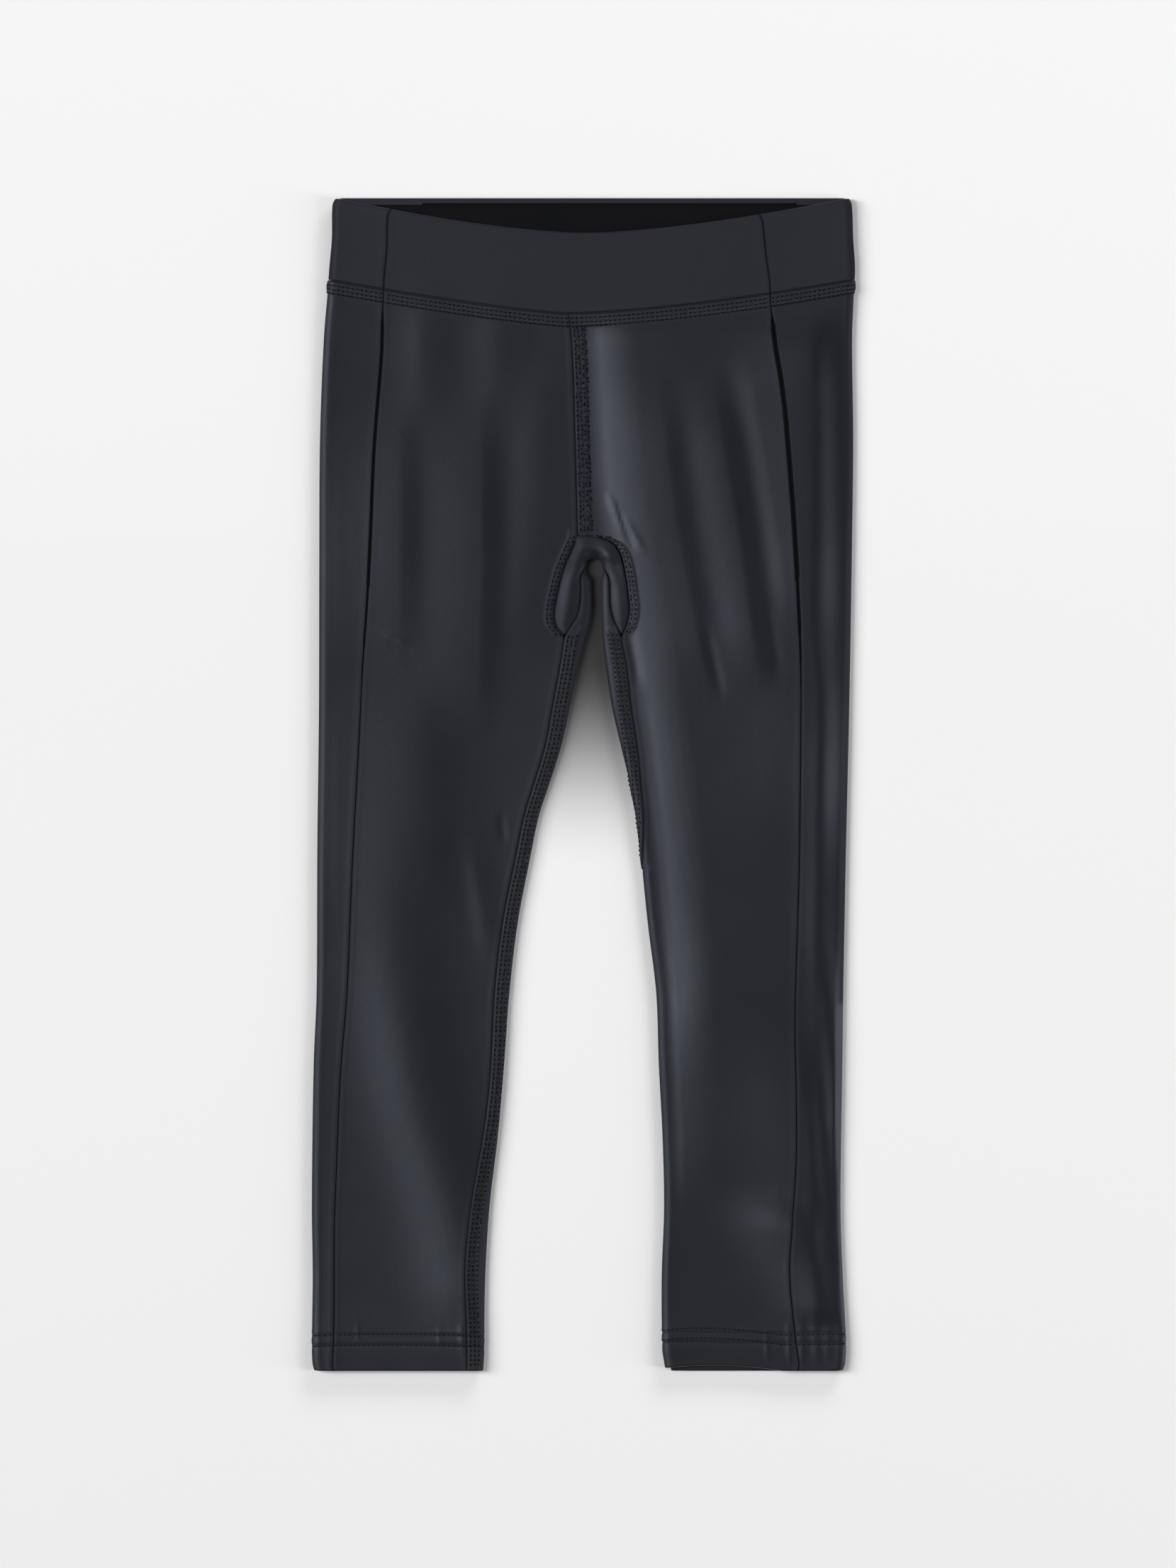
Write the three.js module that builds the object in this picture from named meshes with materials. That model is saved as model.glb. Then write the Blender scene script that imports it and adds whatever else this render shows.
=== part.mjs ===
// Children's sports leggings, laid flat on their back with the front up.
// Millimetres: +X to the right as seen from above, +Y towards the waist, +Z up from the floor.
// The origin lies on the floor under the middle of the garment.
// Left and right are as seen from above with the waist at the top.

import * as THREE from 'three';

const { clamp, lerp, smoothstep } = THREE.MathUtils;

// Cloth
const CLOTH = 1.1;          // one layer of knit
const BAND_CLOTH = 2.2;     // waistband: outer layer, elastic and facing together
const HEM_CLOTH = 1.9;      // the knit turned up once at the ankle
const SEAM_GAP = 0.3;       // between two pieces at a seam
const SEAM_WIDTH = 7.4;     // covered seam allowance, across
const SEAM_RAISE = 0.6;     // and how far it stands up
const SEAM_RAMP = 0.6;      // width of the slope on each side of it

// Waist
const RIM_Y = 322.6;        // top edge of the back waistband
const FRONT_DIP = 19.2;     // the front top edge hangs this much lower in the middle
const DIP_X = 0.6;
const DIP_POWER = 1.55;
const WAIST_SEAM_Y = 277.5; // waist seam at the sides and along the back
const WAIST_DROP = 18.6;    // the front waist seam hangs this much lower
const DROP_X = -10;
const DROP_POWER = { left: 1.25, right: 1.5 };
const DROP_FADE_Y = 195;    // below this the rows of the front run level again
const ROLL_DEPTH = 3;       // the outer layer rolls this far over the back's top edge

// Ankles
const HEM_Y = -322.4;
const HEM_DEPTH = 19.5;
const GAPE = { lift: 3, x: 71, reach: 38, fade: 14 };   // the right front hem edge is drawn up

// Folded edges: a quarter ellipse over the top and a tighter one underneath
const TOP_REACH = 4;
const UNDER_REACH = 3.2;
const TOP_ARC = 5.4;
const UNDER_ARC = 4.5;
const CROWN_REACH = 12;     // the upper layer takes this long to rise to its full height
const FOLD_CLEAR = 12;      // soft folds fade out this near an edge

// The slit between the legs ends here, under the gusset
const ARCH = { y: 123.6, left: 1.3, right: 9.6 };

// Side edges of the laid garment
const outline = [
  { y: 322.6, left: -136.6, right: 145.6 },
  { y: 319, left: -138.4, right: 147.2 },
  { y: 300, left: -138.8, right: 148 },
  { y: 284, left: -140.2, right: 149 },
  { y: 272, left: -141, right: 148.4 },
  { y: 245, left: -143.2, right: 147.4 },
  { y: 190, left: -145.3, right: 148 },
  { y: 123, left: -145.7, right: 147.2 },
  { y: 42, left: -145.9, right: 145.8 },
  { y: -37, left: -146.8, right: 144 },
  { y: -115, left: -147.2, right: 142.5 },
  { y: -154, left: -148.8, right: 142 },
  { y: -231, left: -149.8, right: 141 },
  { y: -270, left: -149.3, right: 142.2 },
  { y: -302, left: -149.7, right: 143.8 },
  { y: -318, left: -149.4, right: 143.6 },
  { y: -322.4, left: -148.4, right: 142.2 },
];

// Inner edges of the legs
const innerOutline = [
  { y: 123.6, left: 1.3, right: 9.6 },
  { y: 110, left: 3.4, right: 9.3 },
  { y: 99, left: 4, right: 9.3 },
  { y: 90, left: 3, right: 9.5 },
  { y: 80, left: 0.6, right: 10 },
  { y: 64, left: -3.6, right: 12 },
  { y: 42, left: -8, right: 15.4 },
  { y: 22, left: -12.4, right: 20 },
  { y: 2, left: -18.6, right: 24.8 },
  { y: -17, left: -24.8, right: 28.7 },
  { y: -37, left: -29, right: 31 },
  { y: -76, left: -36.5, right: 34.9 },
  { y: -115, left: -41.1, right: 39.6 },
  { y: -154, left: -44, right: 41 },
  { y: -193, left: -47.4, right: 43 },
  { y: -232, left: -52, right: 43.9 },
  { y: -271, left: -54.4, right: 42.6 },
  { y: -310, left: -55, right: 43 },
  { y: -322.4, left: -55.4, right: 44.4 },
];

// How far the front side seam lies in from the side edge. The garment is turned a little to the
// left as it lies, so each side's back seam lies as far in as the other side's front seam.
const sideSeam = [
  { y: 322.6, left: 30.5, right: 49.5 },
  { y: 277, left: 30.3, right: 46.4 },
  { y: 245, left: 32, right: 42.2 },
  { y: 221, left: 31.6, right: 39 },
  { y: 182, left: 29.8, right: 35.6 },
  { y: 143, left: 28.4, right: 32.2 },
  { y: 104, left: 26.6, right: 29.4 },
  { y: 65, left: 24, right: 27.2 },
  { y: 26, left: 22.4, right: 26.4 },
  { y: -52, left: 19.1, right: 25.6 },
  { y: -130, left: 16.2, right: 26.4 },
  { y: -169, left: 14.6, right: 25.2 },
  { y: -208, left: 13.6, right: 24.6 },
  { y: -247, left: 12.3, right: 27.2 },
  { y: -267, left: 11.9, right: 29.2 },
  { y: -306, left: 11.9, right: 27.6 },
  { y: -322.4, left: 10.6, right: 24.6 },
];

// Centre front seam, and the centre back seam under it
const centreSeam = [
  { y: 262, front: -8.8, back: 8.2 },
  { y: 240, front: -6.6, back: 7.8 },
  { y: 190, front: -5, back: 7 },
  { y: 137.3, front: -3.6, back: 6 },
];

// How far the inseam lies in from the leg's inner edge: over the top, or underneath where negative
const inseam = [
  { y: 81, left: 11.8, right: 10.4 },
  { y: 65, left: 10, right: 11.4 },
  { y: 42, left: 9.6, right: 10.6 },
  { y: 18, left: 8.8, right: 8.6 },
  { y: 0, left: 8.6, right: 6 },
  { y: -20, left: 8.2, right: 3.6 },
  { y: -40, left: 8.2, right: 0.9 },
  { y: -60, left: 8.4, right: -1.5 },
  { y: -110, left: 8.4, right: -3 },
  { y: -170, left: 7.4, right: -3.5 },
  { y: -230, left: 10.2, right: -3.5 },
  { y: -263, left: 11.3, right: -3.5 },
  { y: -294, left: 10, right: -3.5 },
  { y: -322.4, left: 9, right: -3.5 },
];

// Height of the upper layer: at a folded edge, and in the middle of the garment or leg
const thickness = [
  { y: 322.6, edge: 7, crown: 6.7 },
  { y: 295, edge: 6.8, crown: 6 },
  { y: 277, edge: 6.2, crown: 5.7 },
  { y: 235, edge: 5.2, crown: 4.5 },
  { y: 180, edge: 5, crown: 4.4 },
  { y: 125, edge: 5, crown: 4.9 },
  { y: 40, edge: 5, crown: 4.5 },
  { y: -40, edge: 5, crown: 4.3 },
  { y: -200, edge: 5, crown: 4.2 },
  { y: -285, edge: 5.3, crown: 4.7 },
  { y: -303, edge: 6, crown: 5.2 },
  { y: -322.4, edge: 6, crown: 5.5 },
];

// The largest soft folds of the upper layer: each a ridge from one end to the other
const folds = [
  { name: 'right inner thigh', x0: 30, y0: 222, x1: 60, y1: -70, half: 13, height: 1.4 },
  { name: 'right hip, inner', x0: 66, y0: 215, x1: 88, y1: 92, half: 9, height: 1.3 },
  { name: 'right hip, outer', x0: 92, y0: 225, x1: 109, y1: 112, half: 9, height: 1.3 },
  { name: 'right side', x0: 122, y0: 246, x1: 129, y1: 135, half: 8, height: 1 },
  { name: 'left hip, inner', x0: -58, y0: 225, x1: -58, y1: 75, half: 13, height: 1.3 },
  { name: 'left hip, outer', x0: -101, y0: 248, x1: -98, y1: 115, half: 10, height: 1 },
  { name: 'left calf', x0: -105, y0: -60, x1: -66, y1: -255, half: 14, height: 1.5 },
  { name: 'right calf, side', x0: 129, y0: -140, x1: 132, y1: -240, half: 8, height: 1.1 },
  { name: 'right ankle', x0: 100, y0: -215, x1: 128, y1: -272, half: 8, height: 1.2 },
];

// Sections across the gusset, from the middle of the crotch down each leg: its front edge, the
// crest or fold between the edges, and its back edge. The back edge lies under the garment near
// the middle, then comes up round the leg's inner edge and lies on the upper layer.
const gussetSections = {
  left: [
    { frontX: -3.6, frontY: 137.3, foldX: 5.2, foldY: 124.1, foldZ: 2.6, backX: 6, backY: 139, lies: 'under' },
    { frontX: -5.6, frontY: 132.6, foldX: 4.2, foldY: 124, foldZ: 2.6, backX: 3.7, backY: 133.6, lies: 'under' },
    { frontX: -8, frontY: 127.2, foldX: 3.2, foldY: 123.6, foldZ: 2.7, backX: 1.5, backY: 128.2, lies: 'under' },
    { frontX: -10.6, frontY: 121.4, foldX: -3.4, foldY: 120.4, foldZ: 5.7, backX: 1.6, backY: 121.8, lies: 'edge' },
    { frontX: -12.6, frontY: 114.8, foldX: -5.6, foldY: 114.4, foldZ: 6.2, backX: -1.7, backY: 114.2, lies: 'top' },
    { frontX: -14.3, frontY: 108, foldX: -7.2, foldY: 107.8, foldZ: 6.3, backX: -1.8, backY: 107.4, lies: 'top' },
    { frontX: -16.1, frontY: 99.3, foldX: -8.4, foldY: 99.3, foldZ: 6.2, backX: -2.3, backY: 99.3, lies: 'top' },
    { frontX: -16.8, frontY: 92, foldX: -9.6, foldY: 92.4, foldZ: 6, backX: -4, backY: 92.4, lies: 'top' },
    { frontX: -15.4, frontY: 86.6, foldX: -10.8, foldY: 87.2, foldZ: 5.7, backX: -7, backY: 87.6, lies: 'top' },
    { frontX: -11.6, frontY: 82.4, foldX: -10.8, foldY: 82.5, foldZ: 5.3, backX: -10, backY: 82.6, lies: 'top' },
  ],
  right: [
    { frontX: -3.6, frontY: 137.3, foldX: 5.2, foldY: 124.1, foldZ: 2.6, backX: 6, backY: 139, lies: 'under' },
    { frontX: 6.2, frontY: 136.8, foldX: 6.8, foldY: 124.1, foldZ: 2.6, backX: 7.6, backY: 135.6, lies: 'under' },
    { frontX: 15.4, frontY: 133.2, foldX: 7.7, foldY: 123.9, foldZ: 2.6, backX: 8.8, backY: 130.6, lies: 'under' },
    { frontX: 19.4, frontY: 128, foldX: 8.4, foldY: 123.4, foldZ: 2.7, backX: 9.6, backY: 126.6, lies: 'under' },
    { frontX: 21.6, frontY: 121.4, foldX: 13.4, foldY: 119.6, foldZ: 5.7, backX: 9.3, backY: 121.2, lies: 'edge' },
    { frontX: 22.9, frontY: 114, foldX: 16.6, foldY: 113.6, foldZ: 6.2, backX: 13.3, backY: 113.4, lies: 'top' },
    { frontX: 23.9, frontY: 107, foldX: 18.6, foldY: 106.8, foldZ: 6.3, backX: 13.8, backY: 106.6, lies: 'top' },
    { frontX: 24.9, frontY: 97, foldX: 19.6, foldY: 97.2, foldZ: 6.2, backX: 14.3, backY: 97.4, lies: 'top' },
    { frontX: 23.7, frontY: 88.6, foldX: 19.9, foldY: 89.4, foldZ: 5.8, backX: 16.2, backY: 90, lies: 'top' },
    { frontX: 21.4, frontY: 83.2, foldX: 20.5, foldY: 83.4, foldZ: 5.4, backX: 19.6, backY: 83.6, lies: 'top' },
  ],
};
const GUSSET_UNDER_TURN = 3.4;    // the fold takes this long to come down flat underneath
const CORNER_TRIM = 2.4;          // wider seam gap where the back edge turns underneath

// Colours
const knitColour = new THREE.Color(0.026, 0.028, 0.034);
const facingColour = new THREE.Color(0.008, 0.008, 0.009);
const knit = () => new THREE.MeshStandardMaterial({ color: knitColour, roughness: 0.62, metalness: 0 });
const facingKnit = () => new THREE.MeshStandardMaterial({ color: facingColour, roughness: 0.7, metalness: 0 });

// A smooth curve through one column of a table, read by height
function column(rows, key) {
  const slopeAt = (n) => {
    const before = rows[Math.max(n - 1, 0)];
    const after = rows[Math.min(n + 1, rows.length - 1)];
    return (after[key] - before[key]) / (after.y - before.y);
  };
  return (y) => {
    const at = clamp(y, rows[rows.length - 1].y, rows[0].y);
    const n = clamp(rows.findIndex((row) => row.y <= at) - 1, 0, rows.length - 2);
    const [top, low] = [rows[n], rows[n + 1]];
    const span = low.y - top.y;
    const t = (at - top.y) / span;
    const keep = 2 * t ** 3 - 3 * t ** 2 + 1;
    return keep * top[key] + (1 - keep) * low[key]
      + span * ((t ** 3 - 2 * t ** 2 + t) * slopeAt(n) + (t ** 3 - t ** 2) * slopeAt(n + 1));
  };
}

const pair = (rows) => ({ left: column(rows, 'left'), right: column(rows, 'right') });
const outer = pair(outline);
const inner = pair(innerOutline);
const seamIn = pair(sideSeam);
const inseamIn = pair(inseam);
const centreFront = column(centreSeam, 'front');
const centreBack = column(centreSeam, 'back');
const edgeHeight = column(thickness, 'edge');
const crownHeight = column(thickness, 'crown');

const outward = { left: -1, right: 1 };
const otherSide = { left: 'right', right: 'left' };

// Way in from the nearest edge of the laid garment
function edgeDistance(x, y) {
  const fromSide = Math.min(x - outer.left(y), outer.right(y) - x);
  if (y >= ARCH.y) {
    const besideArch = Math.max(ARCH.left - x, x - ARCH.right, 0);
    return Math.min(fromSide, Math.hypot(besideArch, y - ARCH.y));
  }
  const slitMiddle = (inner.left(y) + inner.right(y)) / 2;
  const fromInner = x < slitMiddle ? inner.left(y) - x : x - inner.right(y);
  return Math.min(fromSide, fromInner);
}

function foldRelief(x, y) {
  let relief = 0;
  for (const { x0, y0, x1, y1, half, height } of folds) {
    const along = ((x - x0) * (x1 - x0) + (y - y0) * (y1 - y0)) / ((x1 - x0) ** 2 + (y1 - y0) ** 2);
    const off = Math.hypot(x - lerp(x0, x1, along), y - lerp(y0, y1, along));
    const fade = smoothstep(along, -0.15, 0.3) * (1 - smoothstep(along, 0.7, 1.15));
    relief += height * fade * Math.exp(-((off / half) ** 2));
  }
  return relief;
}

// How far round a folded edge's quarter a point is, from 0 at the outermost point to 1 at the top
const roll = (distance, reach) => Math.sqrt(1 - (1 - clamp(distance / reach, 0, 1)) ** 2);

function topHeight(x, y) {
  const distance = Math.max(edgeDistance(x, y), 0);
  const edge = edgeHeight(y);
  const rise = (crownHeight(y) - edge) * (1 - Math.exp(-distance / CROWN_REACH));
  const height = edge + rise + foldRelief(x, y) * smoothstep(distance, 0, FOLD_CLEAR);
  return edge / 2 + (height - edge / 2) * roll(distance, TOP_REACH);
}

const underHeight = (distance, y) => (edgeHeight(y) / 2) * (1 - roll(distance, UNDER_REACH));

// Way round a folded edge from its outermost point, from the distance in from that edge
function wayRound(distance) {
  const [reach, arc] = distance < 0 ? [UNDER_REACH, UNDER_ARC] : [TOP_REACH, TOP_ARC];
  const flat = Math.abs(distance);
  const way = flat < reach ? (arc * Math.acos(1 - flat / reach)) / (Math.PI / 2) : arc + flat - reach;
  return Math.sign(distance) * way;
}

// The point that lies that way round an edge: over the top, or underneath where negative
function roundEdge(edgeX, inward, y, way) {
  const [reach, arc] = way < 0 ? [UNDER_REACH, UNDER_ARC] : [TOP_REACH, TOP_ARC];
  const flat = Math.abs(way);
  const distance = flat < arc ? reach * (1 - Math.cos(((flat / arc) * Math.PI) / 2)) : reach + flat - arc;
  const x = edgeX + inward * distance;
  return new THREE.Vector3(x, y, way < 0 ? underHeight(distance, y) : topHeight(x, y));
}

// Curves of the waist, on the front
function frontDrop(x) {
  const side = x < DROP_X ? 'left' : 'right';
  const reach = Math.abs(outer[side](WAIST_SEAM_Y) - DROP_X);
  const share = clamp(Math.abs(x - DROP_X) / reach, 0, 1);
  return WAIST_DROP * (1 - share ** DROP_POWER[side]);
}

function frontRimY(x) {
  const side = x < DIP_X ? 'left' : 'right';
  const reach = Math.abs(outer[side](RIM_Y) - DIP_X);
  return RIM_Y - FRONT_DIP * (1 - clamp(Math.abs(x - DIP_X) / reach, 0, 1) ** DIP_POWER);
}

const dropFade = (y) => smoothstep(y, DROP_FADE_Y, WAIST_SEAM_Y);

function gapeLift(x, y) {
  const across = clamp(1 - ((x - GAPE.x) / GAPE.reach) ** 2, 0, 1);
  return GAPE.lift * across * (1 - smoothstep(y, HEM_Y, HEM_Y + GAPE.fade));
}

// A sheet of cloth: a grid of outer points, the wall's thickness behind each and how far the outer
// side stands up there. Its normals point away from the wall.
function sheet(grid, wall, raise = () => 0) {
  const rows = grid.length;
  const columns = grid[0].length;
  const middleHeight = 2;
  const normals = grid.map((row, j) => row.map((_, i) => {
    const across = new THREE.Vector3().subVectors(row[Math.min(i + 1, columns - 1)], row[Math.max(i - 1, 0)]);
    const along = new THREE.Vector3().subVectors(grid[Math.min(j + 1, rows - 1)][i], grid[Math.max(j - 1, 0)][i]);
    return across.cross(along).normalize();
  }));
  let facing = 0;
  grid.forEach((row, j) => row.forEach((point, i) => {
    facing += normals[j][i].z * (point.z - middleHeight);
  }));
  const side = Math.sign(facing);
  normals.flat().forEach((normal) => normal.multiplyScalar(side));
  return { grid, wall, raise, normals, side };
}

// Two sheets that meet at a seam turn their walls the same way there
function shareNormal(a, b) {
  const mean = a.clone().add(b).normalize();
  a.copy(mean);
  b.copy(mean);
}

// The wall of a sheet, closed round its border
function clothWall({ grid, wall, raise, normals, side }) {
  const rows = grid.length;
  const columns = grid[0].length;
  const positions = [];
  for (const layer of ['outer', 'inner']) {
    grid.forEach((row, j) => row.forEach((point, i) => {
      const shift = layer === 'outer' ? raise(i, j, point) : -wall(i, j, point);
      positions.push(...point.clone().addScaledVector(normals[j][i], shift).toArray());
    }));
  }

  const triangles = [];
  const quad = (a, b, c, d) => (side > 0 ? triangles.push(a, b, c, a, c, d) : triangles.push(a, c, b, a, d, c));
  const outerAt = (i, j) => j * columns + i;
  const innerAt = (i, j) => rows * columns + outerAt(i, j);
  for (let j = 0; j < rows - 1; j += 1) {
    for (let i = 0; i < columns - 1; i += 1) {
      quad(outerAt(i, j), outerAt(i + 1, j), outerAt(i + 1, j + 1), outerAt(i, j + 1));
      quad(innerAt(i, j), innerAt(i, j + 1), innerAt(i + 1, j + 1), innerAt(i + 1, j));
    }
  }
  for (let i = 0; i < columns - 1; i += 1) {
    const last = rows - 1;
    quad(innerAt(i, 0), innerAt(i + 1, 0), outerAt(i + 1, 0), outerAt(i, 0));
    quad(outerAt(i, last), outerAt(i + 1, last), innerAt(i + 1, last), innerAt(i, last));
  }
  for (let j = 0; j < rows - 1; j += 1) {
    const last = columns - 1;
    quad(outerAt(0, j), outerAt(0, j + 1), innerAt(0, j + 1), innerAt(0, j));
    quad(innerAt(last, j), innerAt(last, j + 1), outerAt(last, j + 1), outerAt(last, j));
  }
  const geometry = new THREE.BufferGeometry();
  geometry.setAttribute('position', new THREE.Float32BufferAttribute(positions, 3));
  geometry.setIndex(triangles);
  return geometry;
}

const range = (count) => Array.from({ length: count }, (_, n) => n / (count - 1));

// Heights of the rows of the leg panels at the side seam, in three stretches
const trunkRows = [0, SEAM_RAMP, SEAM_WIDTH - SEAM_RAMP, SEAM_WIDTH].map((n) => WAIST_SEAM_Y - SEAM_GAP / 2 - n)
  .concat([250, 226, 200, 175, 152]);
const crotchRows = range(10).map((n) => lerp(137.3, 82, n));
const legRows = [68, 54, 38, 20, 0, -20, -42, -66, -95, -125, -158, -190, -222, -252, -278]
  .concat([HEM_Y + HEM_DEPTH + 0.8, HEM_Y + HEM_DEPTH - 0.8, HEM_Y + 0.1]);
const seamRows = [...trunkRows, ...crotchRows, ...legRows];

const wallAt = (i, j, point) => (point.y < HEM_Y + HEM_DEPTH ? HEM_CLOTH : CLOTH);

// The covered waist seam: the first rows of each panel, all but the very edge
const onWaistBand = (j) => j === 1 || j === 2;
const aboveFloor = (point) => smoothstep(point.z, 0.8, 2.6);

// Columns of a panel by the way in from its inner edge, then evenly out to the side seam
function columnsFrom(innerWays, evenCount, length) {
  const last = innerWays[innerWays.length - 1];
  const even = range(evenCount + 1).slice(1).map((n) => lerp(last, length - SEAM_GAP / 2, n));
  return [...innerWays, ...even];
}

const seamWays = [SEAM_GAP / 2, SEAM_RAMP, 2.2, 3.7, 5.2, SEAM_WIDTH - SEAM_RAMP, SEAM_WIDTH];
const frontWays = [...seamWays, 9.2, 13];
const backWays = [...seamWays, 9, 10.6, 12.2, 13.8, 15.4, 17, 20];
const besideSeam = (i) => i >= 1 && i <= 5;

// Where the edge of a gusset section lies: as a way round the leg's inner edge, or flat in the trunk
function gussetEdge(side, x, y, lies) {
  const distance = (inner[side](y) - x) * -outward[side];
  if (lies === 'edge') return { y, way: 0 };
  if (lies === 'top' && y < ARCH.y) return { y, way: wayRound(distance) };
  return { y, x };
}

// Inner ends of the rows of a front or back panel
function innerEnds(side, layer) {
  const centre = layer === 'front' ? centreFront : centreBack;
  const drop = layer === 'front' ? frontDrop : () => 0;
  const trunk = trunkRows.map((row) => {
    const y = row - drop(centre(row)) * dropFade(row);
    return { y, x: centre(y) };
  });
  const crotch = gussetSections[side].map((section) => (layer === 'front'
    ? gussetEdge(side, section.frontX, section.frontY, 'top')
    : gussetEdge(side, section.backX, section.backY, section.lies)));
  const leg = legRows.map((y) => ({ y, way: wayRound(inseamIn[side](y)) }));
  return [...trunk, ...crotch, ...leg];
}

// A front or back leg panel: rows from its inner end, at the centre seam, the gusset or the
// inseam, out to the side seam
function legPanel(side, layer) {
  const onTop = layer === 'front';
  const seamDistance = seamIn[onTop ? side : otherSide[side]];
  const sign = onTop ? 1 : -1;
  const grid = innerEnds(side, layer).map((end, j) => {
    const sideY = seamRows[j];
    const seamX = outer[side](sideY) - outward[side] * seamDistance(sideY);
    const sideEndY = onTop ? sideY - frontDrop(seamX) * dropFade(sideY) : sideY;
    if (end.way === undefined) {
      const length = Math.abs(seamX - end.x);
      return columnsFrom(onTop ? frontWays : backWays, onTop ? 6 : 4, length).map((way) => {
        const share = way / length;
        const x = lerp(end.x, seamX, share);
        const level = lerp(end.y, sideEndY, share);
        const y = onTop && j < trunkRows.length ? sideY - frontDrop(x) * dropFade(sideY) : level;
        return new THREE.Vector3(x, y, onTop ? topHeight(x, y) : 0);
      });
    }
    const seamWay = sign * wayRound(Math.abs(inner[side](sideY) - seamX));
    const length = sign * (seamWay - end.way);
    return columnsFrom(onTop ? frontWays : backWays, onTop ? 6 : 4, length).map((way) => {
      const y = lerp(end.y, sideY, way / length);
      const point = roundEdge(inner[side](y), outward[side], y, end.way + sign * way);
      if (onTop) point.y += gapeLift(point.x, point.y);
      return point;
    });
  });

  const crotchEnd = trunkRows.length + crotchRows.length - 1;
  const raise = (i, j, point) => {
    if (onWaistBand(j)) return SEAM_RAISE * aboveFloor(point);
    if (!besideSeam(i)) return 0;
    const frontBand = onTop && j < crotchEnd && (side === 'right' || j >= trunkRows.length);
    const inseamBand = !onTop && j >= crotchEnd;
    return frontBand || inseamBand ? SEAM_RAISE * aboveFloor(point) : 0;
  };
  return sheet(grid, wallAt, raise);
}

// A side panel: from the front side seam over the side edge to the back side seam
function sidePanel(side) {
  const grid = seamRows.map((row) => {
    const frontWay = wayRound(seamIn[side](row)) - SEAM_GAP / 2;
    const backWay = wayRound(-seamIn[otherSide[side]](row)) + SEAM_GAP / 2;
    const ways = [
      ...range(4).map((n) => lerp(frontWay, TOP_ARC, n)),
      0.66 * TOP_ARC,
      0.33 * TOP_ARC,
      0,
      -0.4 * UNDER_ARC,
      -0.7 * UNDER_ARC,
      ...range(3).map((n) => lerp(-UNDER_ARC, backWay, n)),
    ];
    return ways.map((way) => {
      const point = roundEdge(outer[side](row), -outward[side], row, way);
      if (way > 0) point.y -= frontDrop(point.x) * dropFade(row);
      return point;
    });
  });
  return sheet(grid, wallAt, (i, j, point) => (onWaistBand(j) ? SEAM_RAISE * aboveFloor(point) : 0));
}

const bandRows = [0, 0.07, 0.3, 0.55, 0.8, 1];
const bandEdgeIn = SEAM_GAP / 2;

// A row of the waistband at a share of the way from its top edge to the waist seam
function bandY(x, share, onTop) {
  const rim = onTop ? frontRimY(x) : RIM_Y;
  const seam = WAIST_SEAM_Y + bandEdgeIn - (onTop ? frontDrop(x) : 0);
  return lerp(rim, seam, share);
}

function bandFront() {
  const count = 16;
  const grid = bandRows.map((share) => {
    const [left, right] = ['left', 'right'].map((side) => {
      const y = lerp(RIM_Y, WAIST_SEAM_Y, share);
      return outer[side](y) - outward[side] * (seamIn[side](y) + bandEdgeIn);
    });
    return range(count).map((n) => {
      const x = lerp(left, right, n);
      const y = bandY(x, share, true);
      return new THREE.Vector3(x, y, topHeight(x, y));
    });
  });
  return sheet(grid, () => BAND_CLOTH);
}

function bandSide(side) {
  const grid = bandRows.map((share) => {
    const row = lerp(RIM_Y, WAIST_SEAM_Y, share);
    const frontWay = wayRound(seamIn[side](row)) - bandEdgeIn;
    const backWay = wayRound(-seamIn[otherSide[side]](row)) + bandEdgeIn;
    const ways = [
      ...range(4).map((n) => lerp(frontWay, TOP_ARC, n)),
      0.66 * TOP_ARC,
      0.33 * TOP_ARC,
      0,
      -0.4 * UNDER_ARC,
      -0.7 * UNDER_ARC,
      ...range(3).map((n) => lerp(-UNDER_ARC, backWay, n)),
    ];
    return ways.map((way) => {
      const point = roundEdge(outer[side](row), -outward[side], row, way);
      point.y = bandY(point.x, share, way > 0);
      return point;
    });
  });
  return sheet(grid, () => BAND_CLOTH);
}

// The back of the waistband lies on the floor; its outer layer rolls over the top edge, and the
// facing lies on it from just below that roll
function bandBackX(side, y) {
  return outer[side](y) - outward[side] * (seamIn[otherSide[side]](y) + bandEdgeIn);
}

function bandBack() {
  const rollEnd = RIM_Y - ROLL_DEPTH;
  const heights = [RIM_Y, rollEnd + 0.1, rollEnd - 0.1, 300, WAIST_SEAM_Y + bandEdgeIn];
  const grid = heights.map((y) => range(9).map((n) => (
    new THREE.Vector3(lerp(bandBackX('left', y), bandBackX('right', y), n), y, 0))));
  return sheet(grid, (i, j) => (j < 2 ? BAND_CLOTH + SEAM_GAP : CLOTH));
}

function bandFacing() {
  const heights = [RIM_Y - ROLL_DEPTH - SEAM_GAP - 0.1, 316.6, 315.6, 300, WAIST_SEAM_Y + bandEdgeIn + 0.5];
  const stitchRow = 1;
  const bottom = CLOTH + SEAM_GAP;
  const wall = BAND_CLOTH + SEAM_GAP - bottom;
  const grid = heights.map((y) => range(9).map((n) => (
    new THREE.Vector3(lerp(bandBackX('left', y), bandBackX('right', y), n), y, bottom))));
  return sheet(grid, (i, j) => (j === stitchRow ? wall + 0.25 : wall));
}

// The gusset: sections across it, from the tip on the left leg over the crotch to the right tip
function gussetBackPoint(side, { backX, backY, lies }) {
  if (lies === 'under') return new THREE.Vector3(backX, backY, 0);
  if (lies === 'edge') return roundEdge(inner[side](backY), outward[side], backY, 0);
  return new THREE.Vector3(backX, backY, topHeight(backX, backY));
}

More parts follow.
